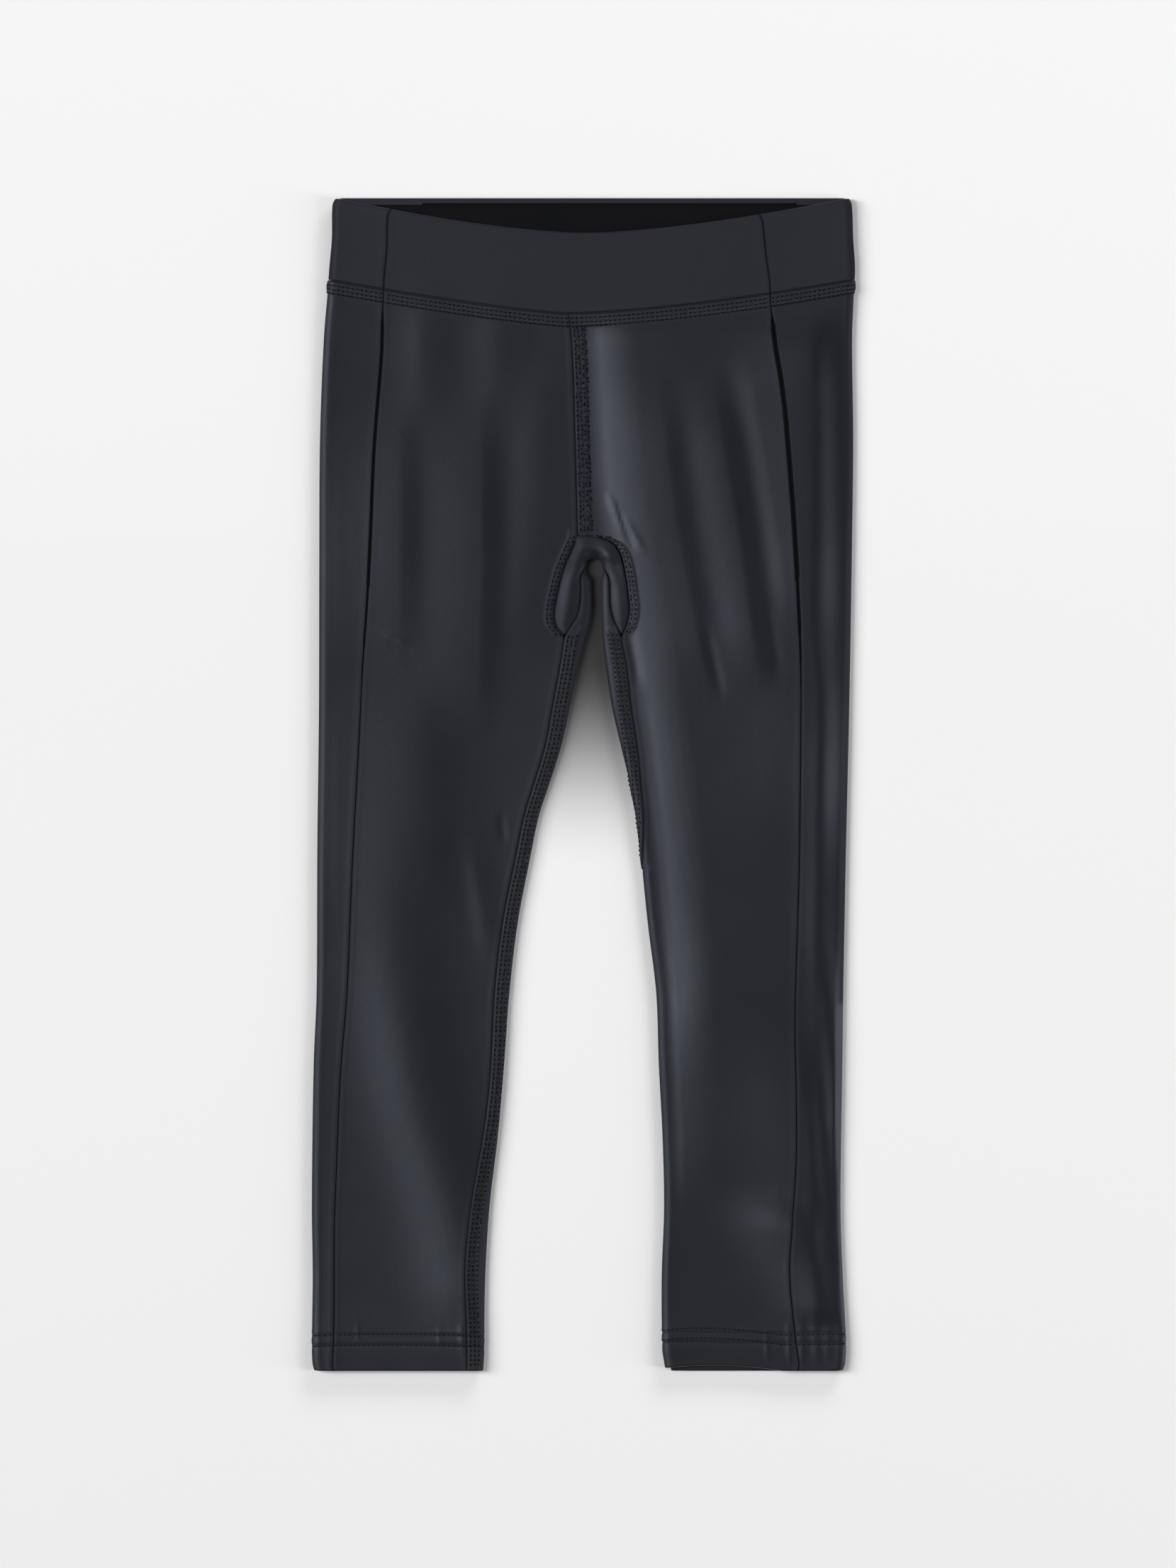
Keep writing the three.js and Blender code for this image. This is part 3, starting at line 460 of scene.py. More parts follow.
class Sheet:
    """A grid of outer points, with what lies how far from each of its edges."""

    def __init__(self, name, grid, wall, uv):
        self.name = name
        self.grid = grid
        self.wall = np.broadcast_to(wall, grid.shape[:2]).astype(float).copy()
        self.uv = uv
        across = np.gradient(grid, axis=1)
        down = np.gradient(grid, axis=0)
        normal = np.cross(across, down)
        normal /= np.maximum(np.linalg.norm(normal, axis=-1, keepdims=True), 1e-9)
        facing = (normal[..., 2] * (grid[..., 2] - 2)).sum()
        self.side = 1 if facing > 0 else -1
        self.normal = normal * self.side
        self.raised, self.sunk, self.inner_rise, self.shade = np.zeros((4, *grid.shape[:2]))
        self.true_normal = np.zeros(grid.shape)
        self.groove_shade = np.zeros(grid.shape[:2], dtype=bool)

    def edge_way(self, edge):
        """Length along the grid from one of its edges to each point."""
        if edge in ("start", "end"):
            way = np.pad(np.cumsum(steps(self.grid, 1), axis=1), ((0, 0), (1, 0)))
            return way if edge == "start" else way[:, -1:] - way
        way = np.pad(np.cumsum(steps(self.grid, 0), axis=0), ((1, 0), (0, 0)))
        return way if edge == "top" else way[-1:, :] - way

    # Adds painted shade, keeping the darker of the old and new shade.
    def darken(self, shade):
        self.shade = np.maximum(self.shade, shade)

    def seam(self, *edges, shadow=1.15, groove_shade=0.0):
        """Edges that roll in at a seam and puff up beside it, with painted shade along the seam;
        some edges also set how wide a dark groove of painted shade reaches.
        """
        for edge in edges:
            way = self.edge_way(edge)
            self.groove_shade |= way < groove_shade
            left = np.clip(SEAM_ROUND - way, 0, SEAM_ROUND)
            self.sunk += SEAM_ROUND - np.sqrt(SEAM_ROUND**2 - left**2)
            self.sunk -= SEAM_PUFF * bump(way, 1.7, 1.1)
            self.darken(bump(way, 0, shadow))

    def fold(self, *edges):
        """Edges where the cloth is turned back on itself."""
        for edge in edges:
            way = self.edge_way(edge)
            radius = self.wall / 2
            left = np.clip(radius - way, 0, None)
            depth = radius - np.sqrt(np.maximum(radius**2 - left**2, 0))
            self.sunk += depth
            self.inner_rise += depth

    def band(self, way, width=SEAM_WIDTH, rows=BAND_ROWS, height=1.0):
        """A covered seam allowance that stands up, with a shallow groove at each needle row."""
        ramp = 0.9
        rise = height * smooth(way, 0, ramp) * (1 - smooth(way, width - ramp, width))
        self.raised = np.maximum(self.raised, rise)
        # Painted shadow along the band's raised edge, and the band a little darker all across.
        self.darken(0.75 * bump(way, width, 0.7))
        self.darken(0.35 * smooth(way, 0.6, 1.2) * (way < width))
        for row in rows:
            self.sunk += 0.16 * rise * bump(way, row, 0.45)

    def shade_and_dull_edges(self):
        """The rolled side edges are matt and darkened with painted shade, all but the right side of
        the right calf.
        """
        x, y = self.grid[..., 0], self.grid[..., 1]
        on_edge = 0.75 * bump(edge_distance(x, y), 0, 2.4)
        shiny = (x > 130) & (y < -120)
        self.darken(np.where(shiny, 0, on_edge))

    def finish(self):
        self.shade_and_dull_edges()
        above = smooth(self.grid[..., 2], 0.8, 2.6)
        rise = SEAM_RAISE * self.raised * above
        rise += (1 - above) * FLOOR_RECESS * (self.raised - 1)
        lift = rise - self.sunk
        self.outer = self.grid + self.normal * lift[..., None]
        self.outer[..., 2] = np.maximum(self.outer[..., 2], 0)
        depth = self.wall - self.inner_rise
        self.inner = self.grid - self.normal * depth[..., None]
        return self


def place(thing):
    """Puts an object into the scene."""
    bpy.context.scene.collection.objects.link(thing)
    return thing


def dress(name, mesh, *materials):
    """An object in the scene with its materials."""
    for material in materials:
        mesh.materials.append(material)
    return place(bpy.data.objects.new(name, mesh))


def make_mesh(name, points, faces, uv=None, shade=None, normals=None):
    mesh = bpy.data.meshes.new(name)
    mesh.vertices.add(len(points))
    placed = (np.asarray(points) + (*SHIFT, 0)) * MM
    mesh.vertices.foreach_set("co", placed.astype(np.float32).ravel())
    faces = np.asarray(faces, dtype=np.int32)
    mesh.loops.add(faces.size)
    mesh.loops.foreach_set("vertex_index", faces.ravel())
    mesh.polygons.add(len(faces))
    mesh.polygons.foreach_set("loop_start", np.arange(0, faces.size, 4, dtype=np.int32))
    mesh.polygons.foreach_set("use_smooth", np.ones(len(faces), dtype=bool))
    if uv is not None:
        layer = mesh.uv_layers.new(name="cloth")
        layer.data.foreach_set("uv", (uv[faces.ravel()] * MM).astype(np.float32).ravel())
    if shade is not None:
        layer = mesh.attributes.new(SHADE, "FLOAT", "POINT")
        layer.data.foreach_set("value", shade.astype(np.float32))
    mesh.update(calc_edges=True)
    mesh.validate()
    if normals is not None:
        mesh.normals_split_custom_set_from_vertices(normals.tolist())
    return mesh


def quads(index):
    """Faces over a grid of point numbers."""
    corners = [index[:-1, :-1], index[:-1, 1:], index[1:, 1:], index[1:, :-1]]
    return np.stack(corners, axis=-1).reshape(-1, 4)


def shell(sheet, material, reverse, groove_shade=None):
    """The closed thin shell of a sheet, with another finish on its inner side, and a near-black
    finish of painted shade in grooves.
    """
    rows, columns = sheet.grid.shape[:2]
    index = np.arange(rows * columns).reshape(rows, columns)
    behind = index + rows * columns
    front = quads(index)
    back = quads(behind)[:, ::-1]
    rims = [(behind[0], index[0]), (index[-1], behind[-1]),
            (index[:, 0], behind[:, 0]), (behind[:, -1], index[:, -1])]
    faces = np.vstack([front, back] + [quads(np.stack(rim)) for rim in rims])
    if sheet.side < 0:
        faces = faces[:, ::-1]
    points = np.vstack([sheet.outer.reshape(-1, 3), sheet.inner.reshape(-1, 3)])
    uv = np.vstack([sheet.uv.reshape(-1, 2)] * 2)
    shade = np.concatenate([sheet.shade.ravel(), np.zeros(rows * columns)])
    normals = np.vstack([sheet.true_normal.reshape(-1, 3), np.zeros((rows * columns, 3))])
    mesh = make_mesh(sheet.name, points, faces, uv, shade, normals if normals.any() else None)
    piece = dress(sheet.name, mesh, material, reverse)
    finish = np.zeros(len(faces), dtype=np.int32)
    finish[len(front):2 * len(front)] = sheet.grid[:-1, :-1, 1].ravel() < RIM_Y - ROLL_DEPTH
    if groove_shade is not None:
        mesh.materials.append(groove_shade)
        # Faces in a groove get the near-black finish of painted shade.
        finish[:len(front)] = 2 * sheet.groove_shade[:-1, :-1].ravel() * sheet.groove_shade[1:, 1:].ravel()
    mesh.polygons.foreach_set("material_index", finish)
    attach(piece, "root")
    return piece


# Grids

EDGE_STEPS = np.array([0.03, 0.12, 0.25, 0.42, 0.65, 1.0, 1.5])
UV_ROW, BAND_UV_ROW = 200, 10   # rows whose lengths across serve a whole side piece


def spaced(start, end, step):
    return np.linspace(start, end, max(int(round(abs(end - start) / step)), 1) + 1)


def spread(across, down):
    """Cloth coordinates from a length for each column and one for each row."""
    return np.stack(np.broadcast_arrays(across[None, :], down[:, None]), axis=-1)


def panel_ways(layer, length):
    """Ways out from an inner end: close together near both ends, even between."""
    near, count = (FRONT_NEAR, 68) if layer == "front" else (BACK_NEAR, 36)
    stop = length - SEAM_GAP / 2 - EDGE_STEPS[-1]
    even = np.linspace(near[-1], stop, count)[1:-1]
    return np.concatenate([near, even, length - SEAM_GAP / 2 - EDGE_STEPS[::-1] + 0.15])


seam_near = np.concatenate([EDGE_STEPS, spaced(2.1, 8.4, 0.63)])
FRONT_NEAR = np.concatenate([seam_near, spaced(9.2, 14, 1.2)])
BACK_NEAR = np.concatenate([seam_near, spaced(9.0, 24, 0.85)])

trunk_y = WAIST_SEAM_Y - 0.03 - np.concatenate(
    [EDGE_STEPS, spaced(2.1, 9.2, 0.6), spaced(10.4, 137.6, 2.3)])
section_y = np.linspace(GUSSET_TOP_Y, GUSSET_LOW_Y, len(GUSSET["left"]))
crotch_y = np.linspace(GUSSET_TOP_Y, GUSSET_LOW_Y, 34)
leg_y = np.concatenate([
    spaced(80.2, -296, 2.3), spaced(-297.2, HEM_Y + 2.3, 0.75),
    HEM_Y + np.array([1.7, 1.2, 0.8, 0.5, 0.28, 0.12, 0.03])])
fine_y = np.concatenate([trunk_y, crotch_y, leg_y])


def seam_x(side, layer, y):
    distance = seam_in[side if layer == "front" else OTHER[side]](y)
    return outer[side](y) - OUTWARD[side] * distance


def across_row(side, layer, y, start_x, level_at):
    """A row from start_x to the side seam, with its y from x and the share of the way."""
    end_x = float(seam_x(side, layer, y))
    length = abs(end_x - start_x)
    share = panel_ways(layer, length) / length
    x = lerp(start_x, end_x, share)
    level = level_at(x, share)
    z = top_height(x, level) if layer == "front" else np.zeros(x.shape)
    return np.stack([x, level, z], axis=-1)


def trunk_row(side, layer, y):
    start_x = float(centre[layer](y))
    if layer == "back":
        return across_row(side, layer, y, start_x, lambda x, share: np.full(x.shape, y))
    end_y = y - float(front_drop(start_x) * drop_fade(y))
    start_x = float(centre[layer](end_y))
    return across_row(side, layer, y, start_x, lambda x, share: y - front_drop(x) * drop_fade(y))


def limb_row(side, layer, y, end_y, way):
    """A row that starts at a way round the leg's inner edge."""
    sign = 1 if layer == "front" else -1
    seam_distance = abs(float(inner[side](y)) - float(seam_x(side, layer, y)))
    length = sign * (sign * float(way_round(seam_distance)) - way)
    ways = panel_ways(layer, length)
    level = lerp(end_y, y, ways / length)
    return round_edge(inner[side](level), OUTWARD[side], level, way + sign * ways)


def section_row(side, layer, n):
    front_x, front_y, _, _, _, back_x, back_y, lies = GUSSET[side][n]
    y = section_y[n]
    if layer == "front":
        x, level, lies = front_x, front_y, "top"
    else:
        x, level = back_x, back_y
    if lies == "edge":
        return limb_row(side, layer, y, level, 0.0)
    if lies == "top" and level < ARCH_Y:
        distance = (float(inner[side](level)) - x) * -OUTWARD[side]
        return limb_row(side, layer, y, level, float(way_round(distance)))
    return across_row(side, layer, y, x, lambda _, share: lerp(level, y, share))


def panel_grid(side, layer):
    trunk = [trunk_row(side, layer, y) for y in trunk_y]
    legs = [limb_row(side, layer, y, y, float(way_round(inseam_in[side](y)))) for y in leg_y]
    sections = [section_row(side, layer, n) for n in range(len(section_y))]
    known_y = np.concatenate([trunk_y[-2:], section_y, leg_y[:2]])
    crotch = blend_rows(known_y, trunk[-2:] + sections + legs[:2], crotch_y)
    if layer == "front":
        crotch[..., 2] = top_height(crotch[..., 0], crotch[..., 1])
    grid = np.concatenate([trunk, crotch, legs])
    if (layer, side) == ("front", "right"):
        grid[..., 1] += gape_lift(grid[..., 0], grid[..., 1])
    return grid


def hem_wall(grid):
    return np.where(grid[..., 1] < HEM_Y + HEM_DEPTH, HEM_CLOTH, CLOTH)


def hem_wander(x):
    return WANDER * np.sin(x / WANDER_LENGTH)


def hem_grooves(sheet, side):
    """Two needle rows that draw the hem in, with the turned-up cloth puffed between and below."""
    y = sheet.grid[..., 1] - HEM_Y
    high, low = HEM_ROWS[side]
    wander = hem_wander(sheet.grid[..., 0])
    for row in (high, low):
        sheet.sunk += 0.3 * bump(y - row - wander, 0, 0.55)
        # Painted shade in each needle row's groove.
        sheet.darken(0.6 * bump(y - row - wander, 0, 0.7))
    sheet.sunk -= 0.25 * bump(y, (high + low) / 2, 1.9)
    sheet.sunk -= 0.15 * bump(y - low, -4.5, 4)
    sheet.sunk -= 0.15 * bump(y - high, 2, 1.3)


def back_creases(sheet):
    """Shallow creases pressed up into the lower layer."""
    below = 1 - smooth(sheet.grid[..., 2], 0.3, 1.5)
    sheet.sunk += below * ridges(BACK_CREASES, sheet.grid[..., 0], sheet.grid[..., 1])


def groove_shade_width(side, y):
    """How far the painted shade of a side seam's groove reaches over the panel beside it."""
    deep = smooth(y, 40, 120) * (1 - smooth(y, 258, 268))
    return 0.3 + deep * SIDE_GROOVE_SHADE[side]


def leg_panel(side, layer):
    grid = panel_grid(side, layer)
    inwards = np.cumsum(steps(grid, 1)[:, ::-1], axis=1)
    from_side = np.pad(inwards[:, ::-1], ((0, 0), (0, 1)))
    uv = np.stack([from_side, grid[..., 1]], axis=-1)
    sheet = Sheet(f"{layer}_{side}", grid, hem_wall(grid), uv)
    sheet.seam("start", "top")
    sheet.seam("end", groove_shade=groove_shade_width(side, fine_y[:, None]) if layer == "front" else 0)
    sheet.fold("bottom")
    in_way = sheet.edge_way("start")
    down_way = sheet.edge_way("top")
    above_leg = fine_y[:, None] > GUSSET_LOW_Y
    above_gusset = fine_y[:, None] > GUSSET_TOP_Y
    if (layer, side) in CENTRE_BANDS:
        sheet.band(np.where(above_gusset, in_way, NO_BAND))
    if layer == "front":
        sheet.band(np.where(above_leg & ~above_gusset, in_way, NO_BAND), **GUSSET_BAND)
    else:
        sheet.band(np.where(above_leg, NO_BAND, in_way))
    sheet.band(down_way)
    hem_grooves(sheet, side)
    if layer == "back":
        back_creases(sheet)
    else:
        x, y = grid[..., 0], grid[..., 1]
        plain = (np.abs(sheet.sunk) < 0.002) & (sheet.raised < 0.002)
        plain &= (in_way > PLAIN_WAY["inseam"]) & (sheet.edge_way("end") > PLAIN_WAY["side"])
        plain &= (down_way > PLAIN_WAY["waist"]) & (y > HEM_Y + PLAIN_WAY["hem"])
        sheet.true_normal = np.where(plain[..., None], top_normal(x, y), 0)
    return sheet.finish()


def side_row(side, y):
    """Points round a side edge, from the front seam to the back seam, and their ways."""
    front_way = float(way_round(seam_in[side](y)))
    back_way = float(way_round(-seam_in[OTHER[side]](y)))
    ways = np.concatenate([
        front_way - EDGE_STEPS + 0.03,
        np.linspace(front_way - 2.2, 7, 14),
        spaced(6.4, -6, 0.62),
        np.linspace(-7, back_way + 2.2, 16),
        back_way + EDGE_STEPS[::-1] - 0.03,
    ])
    return round_edge(outer[side](y), -OUTWARD[side], y, ways), ways


def side_panel(side):
    rows = []
    for y in fine_y:
        row, ways = side_row(side, y)
        row[:, 1] -= np.where(ways > 0, front_drop(row[:, 0]) * drop_fade(y), 0)
        rows.append(row)
    grid = np.array(rows)
    uv = spread(along(grid[UV_ROW]), fine_y)
    sheet = Sheet(f"side_{side}", grid, hem_wall(grid), uv)
    sheet.seam("end", "top")
    sheet.seam("start", groove_shade=groove_shade_width(side, fine_y[:, None]))
    sheet.fold("bottom")
    sheet.band(sheet.edge_way("top"))
    hem_grooves(sheet, side)
    back_creases(sheet)
    return sheet.finish()


band_share = np.concatenate([
    np.array([0.001, 0.004, 0.009, 0.016, 0.026, 0.038]), spaced(0.05, 0.965, 0.032),
    1 - EDGE_STEPS[::-1] / BAND_DEPTH])


def strip_x(layer, y):
    """Places across the front or back of the waistband, close together near its seams."""
    left, right = float(seam_x("left", layer, y)), float(seam_x("right", layer, y))
    between = np.linspace(left + BAND_INSET, right - BAND_INSET, BAND_COLUMNS)
    return np.concatenate([left + EDGE_STEPS, between, right - EDGE_STEPS[::-1]])


def band_sheet(name, grid, wall, uv):
    """A piece of the waistband, sewn all round but for its folded top edge."""
    sheet = Sheet(name, grid, wall, uv)
    sheet.seam("start", "end", "bottom", shadow=BAND_SHADOW)
    sheet.fold("top")
    return sheet.finish()


def band_y(x, share, on_top):
    rim = np.where(on_top, front_rim_y(x), RIM_Y)
    low = WAIST_SEAM_Y + 0.02 - np.where(on_top, front_drop(x), 0)
    return lerp(rim, low, share)


def band_front():
    rows = []
    for share in band_share:
        x = strip_x("front", lerp(RIM_Y, WAIST_SEAM_Y, share))
        level = band_y(x, share, True)
        rows.append(np.stack([x, level, top_height(x, level)], axis=-1))
    grid = np.array(rows)
    return band_sheet("waistband_front", grid, BAND_CLOTH, grid[..., :2])


def band_side(side):
    rows = []
    for share in band_share:
        row, ways = side_row(side, lerp(RIM_Y, WAIST_SEAM_Y, share))
        row[:, 1] = band_y(row[:, 0], share, ways > 0)
        rows.append(row)
    grid = np.array(rows)
    uv = spread(along(grid[BAND_UV_ROW]), BAND_DEPTH * band_share[::-1])
    return band_sheet(f"waistband_side_{side}", grid, BAND_CLOTH, uv)


def back_strip(levels, z):
    """Rows across the back of the waistband, level with the floor."""
    rows = []
    for y in levels:
        x = strip_x("back", y)
        rows.append(np.stack([x, np.full(x.shape, y), np.full(x.shape, z)], axis=-1))
    return np.array(rows)


def band_back():
    roll_end = RIM_Y - ROLL_DEPTH
    levels = np.concatenate([
        RIM_Y - np.array([0.03, 0.12, 0.28, 0.5, 0.8, 1.1, 1.5, 2.0, 2.5]),
        [roll_end + 0.1, roll_end - 0.1], spaced(318, 280, 2), WAIST_SEAM_Y + EDGE_STEPS[::-1]])
    grid = back_strip(levels, 0)
    wall = np.where(grid[..., 1] > roll_end, BAND_CLOTH + SEAM_GAP, CLOTH)
    return band_sheet("waistband_back", grid, wall, grid[..., :2])


def band_facing():
    """The inner layer of the back, stitched down just below the rolled edge."""
    top = RIM_Y - ROLL_DEPTH - 0.05
    levels = np.concatenate([
        top - np.array([0.0, 0.12, 0.3, 0.55]), spaced(318.7, 316, 0.3), spaced(315, 279.5, 1.9)])
    grid = back_strip(levels, CLOTH + SEAM_GAP)
    x, y = grid[..., 0], grid[..., 1]
    ripple = 0.12 * np.sin(x / 17 + 1.3 * np.sin(x / 31)) * smooth(-y, -316, -306)
    stitch_groove = 0.25 * bump(y, 317.9, 0.4)
    tucked_under = 0.5 * smooth(y, top - 0.5, top)
    wall = 1.05 + ripple - stitch_groove - tucked_under
    return Sheet("waistband_facing", grid, wall, grid[..., :2]).finish()


def gusset_path(side, section):
    front_x, front_y, fold_x, fold_y, fold_z, back_x, back_y, lies = section
    front = np.array([front_x, front_y, float(top_height(front_x, front_y))])
    fold = np.array([fold_x, fold_y, fold_z], float)
    if lies == "under":
        back = np.array([back_x, back_y, 0.0])
        crest = lerp(front, fold, 0.6)
        crest[2] = front[2] + 0.6
        turn = np.array([back_x - fold_x, back_y - fold_y, 0.0])
        turned = fold + turn / np.linalg.norm(turn) * GUSSET_UNDER_TURN
        turned[2] = 0
        points = [front, crest, fold, turned, back]
    elif lies == "edge":
        edge_x = inner[side](back_y)
        points = [front, fold] + [round_edge(edge_x, OUTWARD[side], back_y, way)
                                  for way in (2.7, 1.2, 0)]
    else:
        points = [front, fold, np.array([back_x, back_y, float(top_height(back_x, back_y))])]
    path = catmull(points)
    path[:, 2] = np.maximum(path[:, 2], 0)
    return path


def gusset():
    width, length, fine_rows = 14, 130, 150
    sections = [("left", section) for section in GUSSET["left"][::-1]]
    sections += [("right", section) for section in GUSSET["right"][1:]]
    rows = []
    for side, section in sections:
        path = gusset_path(side, section)
        reach = along(path)[-1]
        trim = 0.16 + (0.2 if section[7] != "top" else 0)
        near = np.array([0, 0.1, 0.22, 0.4, 0.7]) * min(1, reach / 4)
        first = trim + near[-1] * 1.5
        ways = [trim + near, np.linspace(first, reach - first, 30), reach - trim - near[::-1]]
        rows.append(resample(path, np.concatenate(ways)))
    fine = np.linspace(0, len(rows) - 1, fine_rows)
    grid = blend_rows(-np.arange(len(rows), dtype=float), rows, -fine)
    grid[..., 2] = np.maximum(grid[..., 2], 0)
    uv = spread(np.linspace(0, width, grid.shape[1]), np.linspace(0, length, fine_rows))
    sheet = Sheet("gusset", grid, CLOTH, uv)
    sheet.seam("start", "end")
    return sheet.finish()


# Stitching


class Threads:
    """Short thread lengths on the cloth, joined into one mesh."""

    CORNERS = 6
    TURN = np.arange(CORNERS) * 2 * math.pi / CORNERS
    WAY = np.array([-1.0, -0.6, 0.6, 1.0])
    RADIUS = np.array([0.55, 1.0, 1.0, 0.55])
    LIFT = np.array([-0.75, 0.35, 0.35, -0.75])

    def __init__(self, name):
        self.name = name
        self.lengths = []

    def add(self, centre, forward, up, half, radius):
        self.lengths.append((centre, forward, up, half, radius))

    def build(self, material):
        centre, forward, up, half, radius = (np.array(part) for part in zip(*self.lengths))
        forward /= np.linalg.norm(forward, axis=1, keepdims=True)
        beside = np.cross(forward, up)
        beside /= np.maximum(np.linalg.norm(beside, axis=1, keepdims=True), 1e-9)
        half, radius = half[:, None, None, None], radius[:, None, None, None]
        around = np.cos(self.TURN)[None, None, :, None]
        above = np.sin(self.TURN)[None, None, :, None]
        way = self.WAY[None, :, None, None]
        size = self.RADIUS[None, :, None, None]
        lift = self.LIFT[None, :, None, None]
        points = (
            centre[:, None, None, :]
            + forward[:, None, None, :] * half * way
            + beside[:, None, None, :] * radius * size * around
            + up[:, None, None, :] * radius * (size * above + lift)
        ).reshape(-1, 3)
        points[:, 2] = np.maximum(points[:, 2], 0)
        rings = np.arange(len(self.WAY) * self.CORNERS).reshape(-1, self.CORNERS)
        rings = np.hstack([rings, rings[:, :1]])
        walls = quads(rings)
        ends = np.array([[3, 2, 1, 0], [5, 4, 3, 0], [18, 19, 20, 21], [18, 21, 22, 23]])
        first = rings.max() + 1
        one = np.vstack([walls, ends])
        faces = (one[None] + first * np.arange(len(centre))[:, None, None]).reshape(-1, 4)
        piece = dress(self.name, make_mesh(self.name, points, faces), material)
        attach(piece, "root")


class Track:
    """Places on a sheet's outer side: a way along a seam, and a way across from it."""

    def __init__(self, sheet, edge, first=None, last=None):
        outer_side, normal = sheet.outer, sheet.normal
        across = sheet.edge_way(edge)
        if edge in ("top", "bottom"):
            outer_side, normal = outer_side.swapaxes(0, 1), normal.swapaxes(0, 1)
            across = across.swapaxes(0, 1)
        if edge in ("end", "bottom"):
            outer_side, normal, across = outer_side[:, ::-1], normal[:, ::-1], across[:, ::-1]
        self.points, self.across = outer_side[first:last], across[first:last]
        self.known = np.concatenate([self.points, normal[first:last]], axis=-1)
        middle = np.argmin(np.abs(self.across.mean(axis=0) - BAND_MIDDLE))
        self.length = along(self.points[:, middle])

    def at(self, way, across):
        row = float(np.interp(way, self.length, np.arange(len(self.length))))
        low = min(int(row), len(self.length) - 2)
        found = [np.array([np.interp(across, self.across[n], values) for values in self.known[n].T])
                 for n in (low, low + 1)]
        mixed = lerp(*found, row - low)
        return mixed[:3], mixed[3:]


def cover_stitch(track, rows, start, stop=1.2, loose=0.1):
    """Needle rows, and the covering threads that cross from row to row."""
    count = int((track.length[-1] - start - stop) / STITCH)
    for n in range(count):
        way = start + (n + 0.5) * STITCH
        for row in rows:
            shift = rng.normal(0, loose, 2)
            here, up = track.at(way + shift[0], row + 0.5 * shift[1])
            there, _ = track.at(way + shift[0] + AHEAD, row + 0.5 * shift[1])
            needle_threads.add(here + up * 0.04, there - here, up, half=0.78, radius=0.3)
        for low, high in zip(rows[:-1], rows[1:]):
            for lean, offset in ((0.5, -0.75), (-0.45, 0.62)):
                shift = rng.normal(0, 1.5 * loose, 3)
                a, up = track.at(way + offset - lean + shift[0], low - 0.2 + shift[2])
                b, _ = track.at(way + offset + lean + shift[1], high + 0.2 + shift[2])
                half = np.linalg.norm(b - a) / 2
                cover_threads.add((a + b) / 2 + up * 0.14, b - a, up, half, radius=0.2)
        if rng.random() < LINT_CHANCE:
            spot, up = track.at(way, rng.uniform(rows[0], rows[-1]))
            lint.add(spot + up * 0.35, rng.normal(0, 1, 3), up, half=0.22, radius=0.11)


def single_stitch(threads, track, way, across, half, radius):
    here, up = track.at(way, across)
    there, _ = track.at(way + AHEAD, across)
    threads.add(here + up * 0.02, there - here, up, half, radius)


def understitch(track, across):
    """One row of single stitches beside an edge."""
    for n in range(int((track.length[-1] - 6) / STITCH)):
        way = 3 + (n + 0.5) * STITCH
        single_stitch(cover_threads, track, way, across, half=0.95, radius=0.2)


def hem_stitch(sheet, side):
    """Two rows of single stitches across the hem of one panel."""
    track = Track(sheet, "bottom")
    for height in HEM_ROWS[side]:
        middle = np.argmin(np.abs(track.across.mean(axis=0) - height))
        length = along(track.points[:, middle])
        for n in range(int((length[-1] - 1) / STITCH)):
            way = 0.8 + (n + 0.5) * STITCH
            spot = np.interp(way, length, np.arange(len(length)))
            across = height + hem_wander(track.points[int(spot), middle, 0])
            whole = way / length[-1] * track.length[-1]
            single_stitch(needle_threads, track, whole, across, half=0.9, radius=0.22)


# Materials


class Surface:
    """A material and its nodes. An input takes a value, or the output that feeds it."""

    def __init__(self, name, roughness, specular):
        self.material = bpy.data.materials.new(name)
        self.material.use_nodes = True
        self.tree = self.material.node_tree
        self.shader = self.tree.nodes["Principled BSDF"]
        self.fill(self.shader, {"Roughness": roughness, "Specular IOR Level": specular})

    def fill(self, node, inputs):
        for socket, value in inputs.items():
            if isinstance(value, bpy.types.NodeSocket):
                self.tree.links.new(value, node.inputs[socket])
            else:
                node.inputs[socket].default_value = value

    def add(self, kind, output, inputs, **settings):
        """A new node's output."""
        node = self.tree.nodes.new(f"ShaderNode{kind}")
        for setting, value in settings.items():
            setattr(node, setting, value)
        self.fill(node, inputs)
        return node.outputs[output]

    def ramp(self, factor, *stops):
        """A colour ramp between two stops, each with its position and colour."""
        output = self.add("ValToRGB", "Color", {"Fac": factor})
        for element, (position, colour) in zip(output.node.color_ramp.elements, stops):
            element.position = position
            element.color = (*colour, 1)
        return output

    def mix(self, **inputs):
        blend = inputs.pop("blend", "MIX")
        return self.add("Mix", "Result", inputs, data_type="RGBA", blend_type=blend)

    def noise(self, spot, scale, inputs):
        return self.add("TexNoise", "Fac", {"Vector": spot, "Scale": scale, **inputs})

    def waves(self, cloth, direction, length, inputs):
        """Bands of that length in millimetres; the texture has 3.18 of them a unit at scale 1."""
        scale = 1 / (length * MM) / 3.18
        return self.add("TexWave", "Fac",
                        {"Vector": cloth, "Scale": scale, "Distortion": 1.2, **inputs},
                        wave_type="BANDS", bands_direction=direction)

    def relief(self, height, strength, distance, normal=None):
        inputs = {"Height": height, "Strength": strength, "Distance": distance}
        if normal is not None:
            inputs["Normal"] = normal
        return self.add("Bump", "Normal", inputs)

    def shade(self):
        return self.add("Attribute", "Fac", {}, attribute_name=SHADE)


def tinted(colour, *factors):
    return [part * factor for part, factor in zip(colour, factors)]


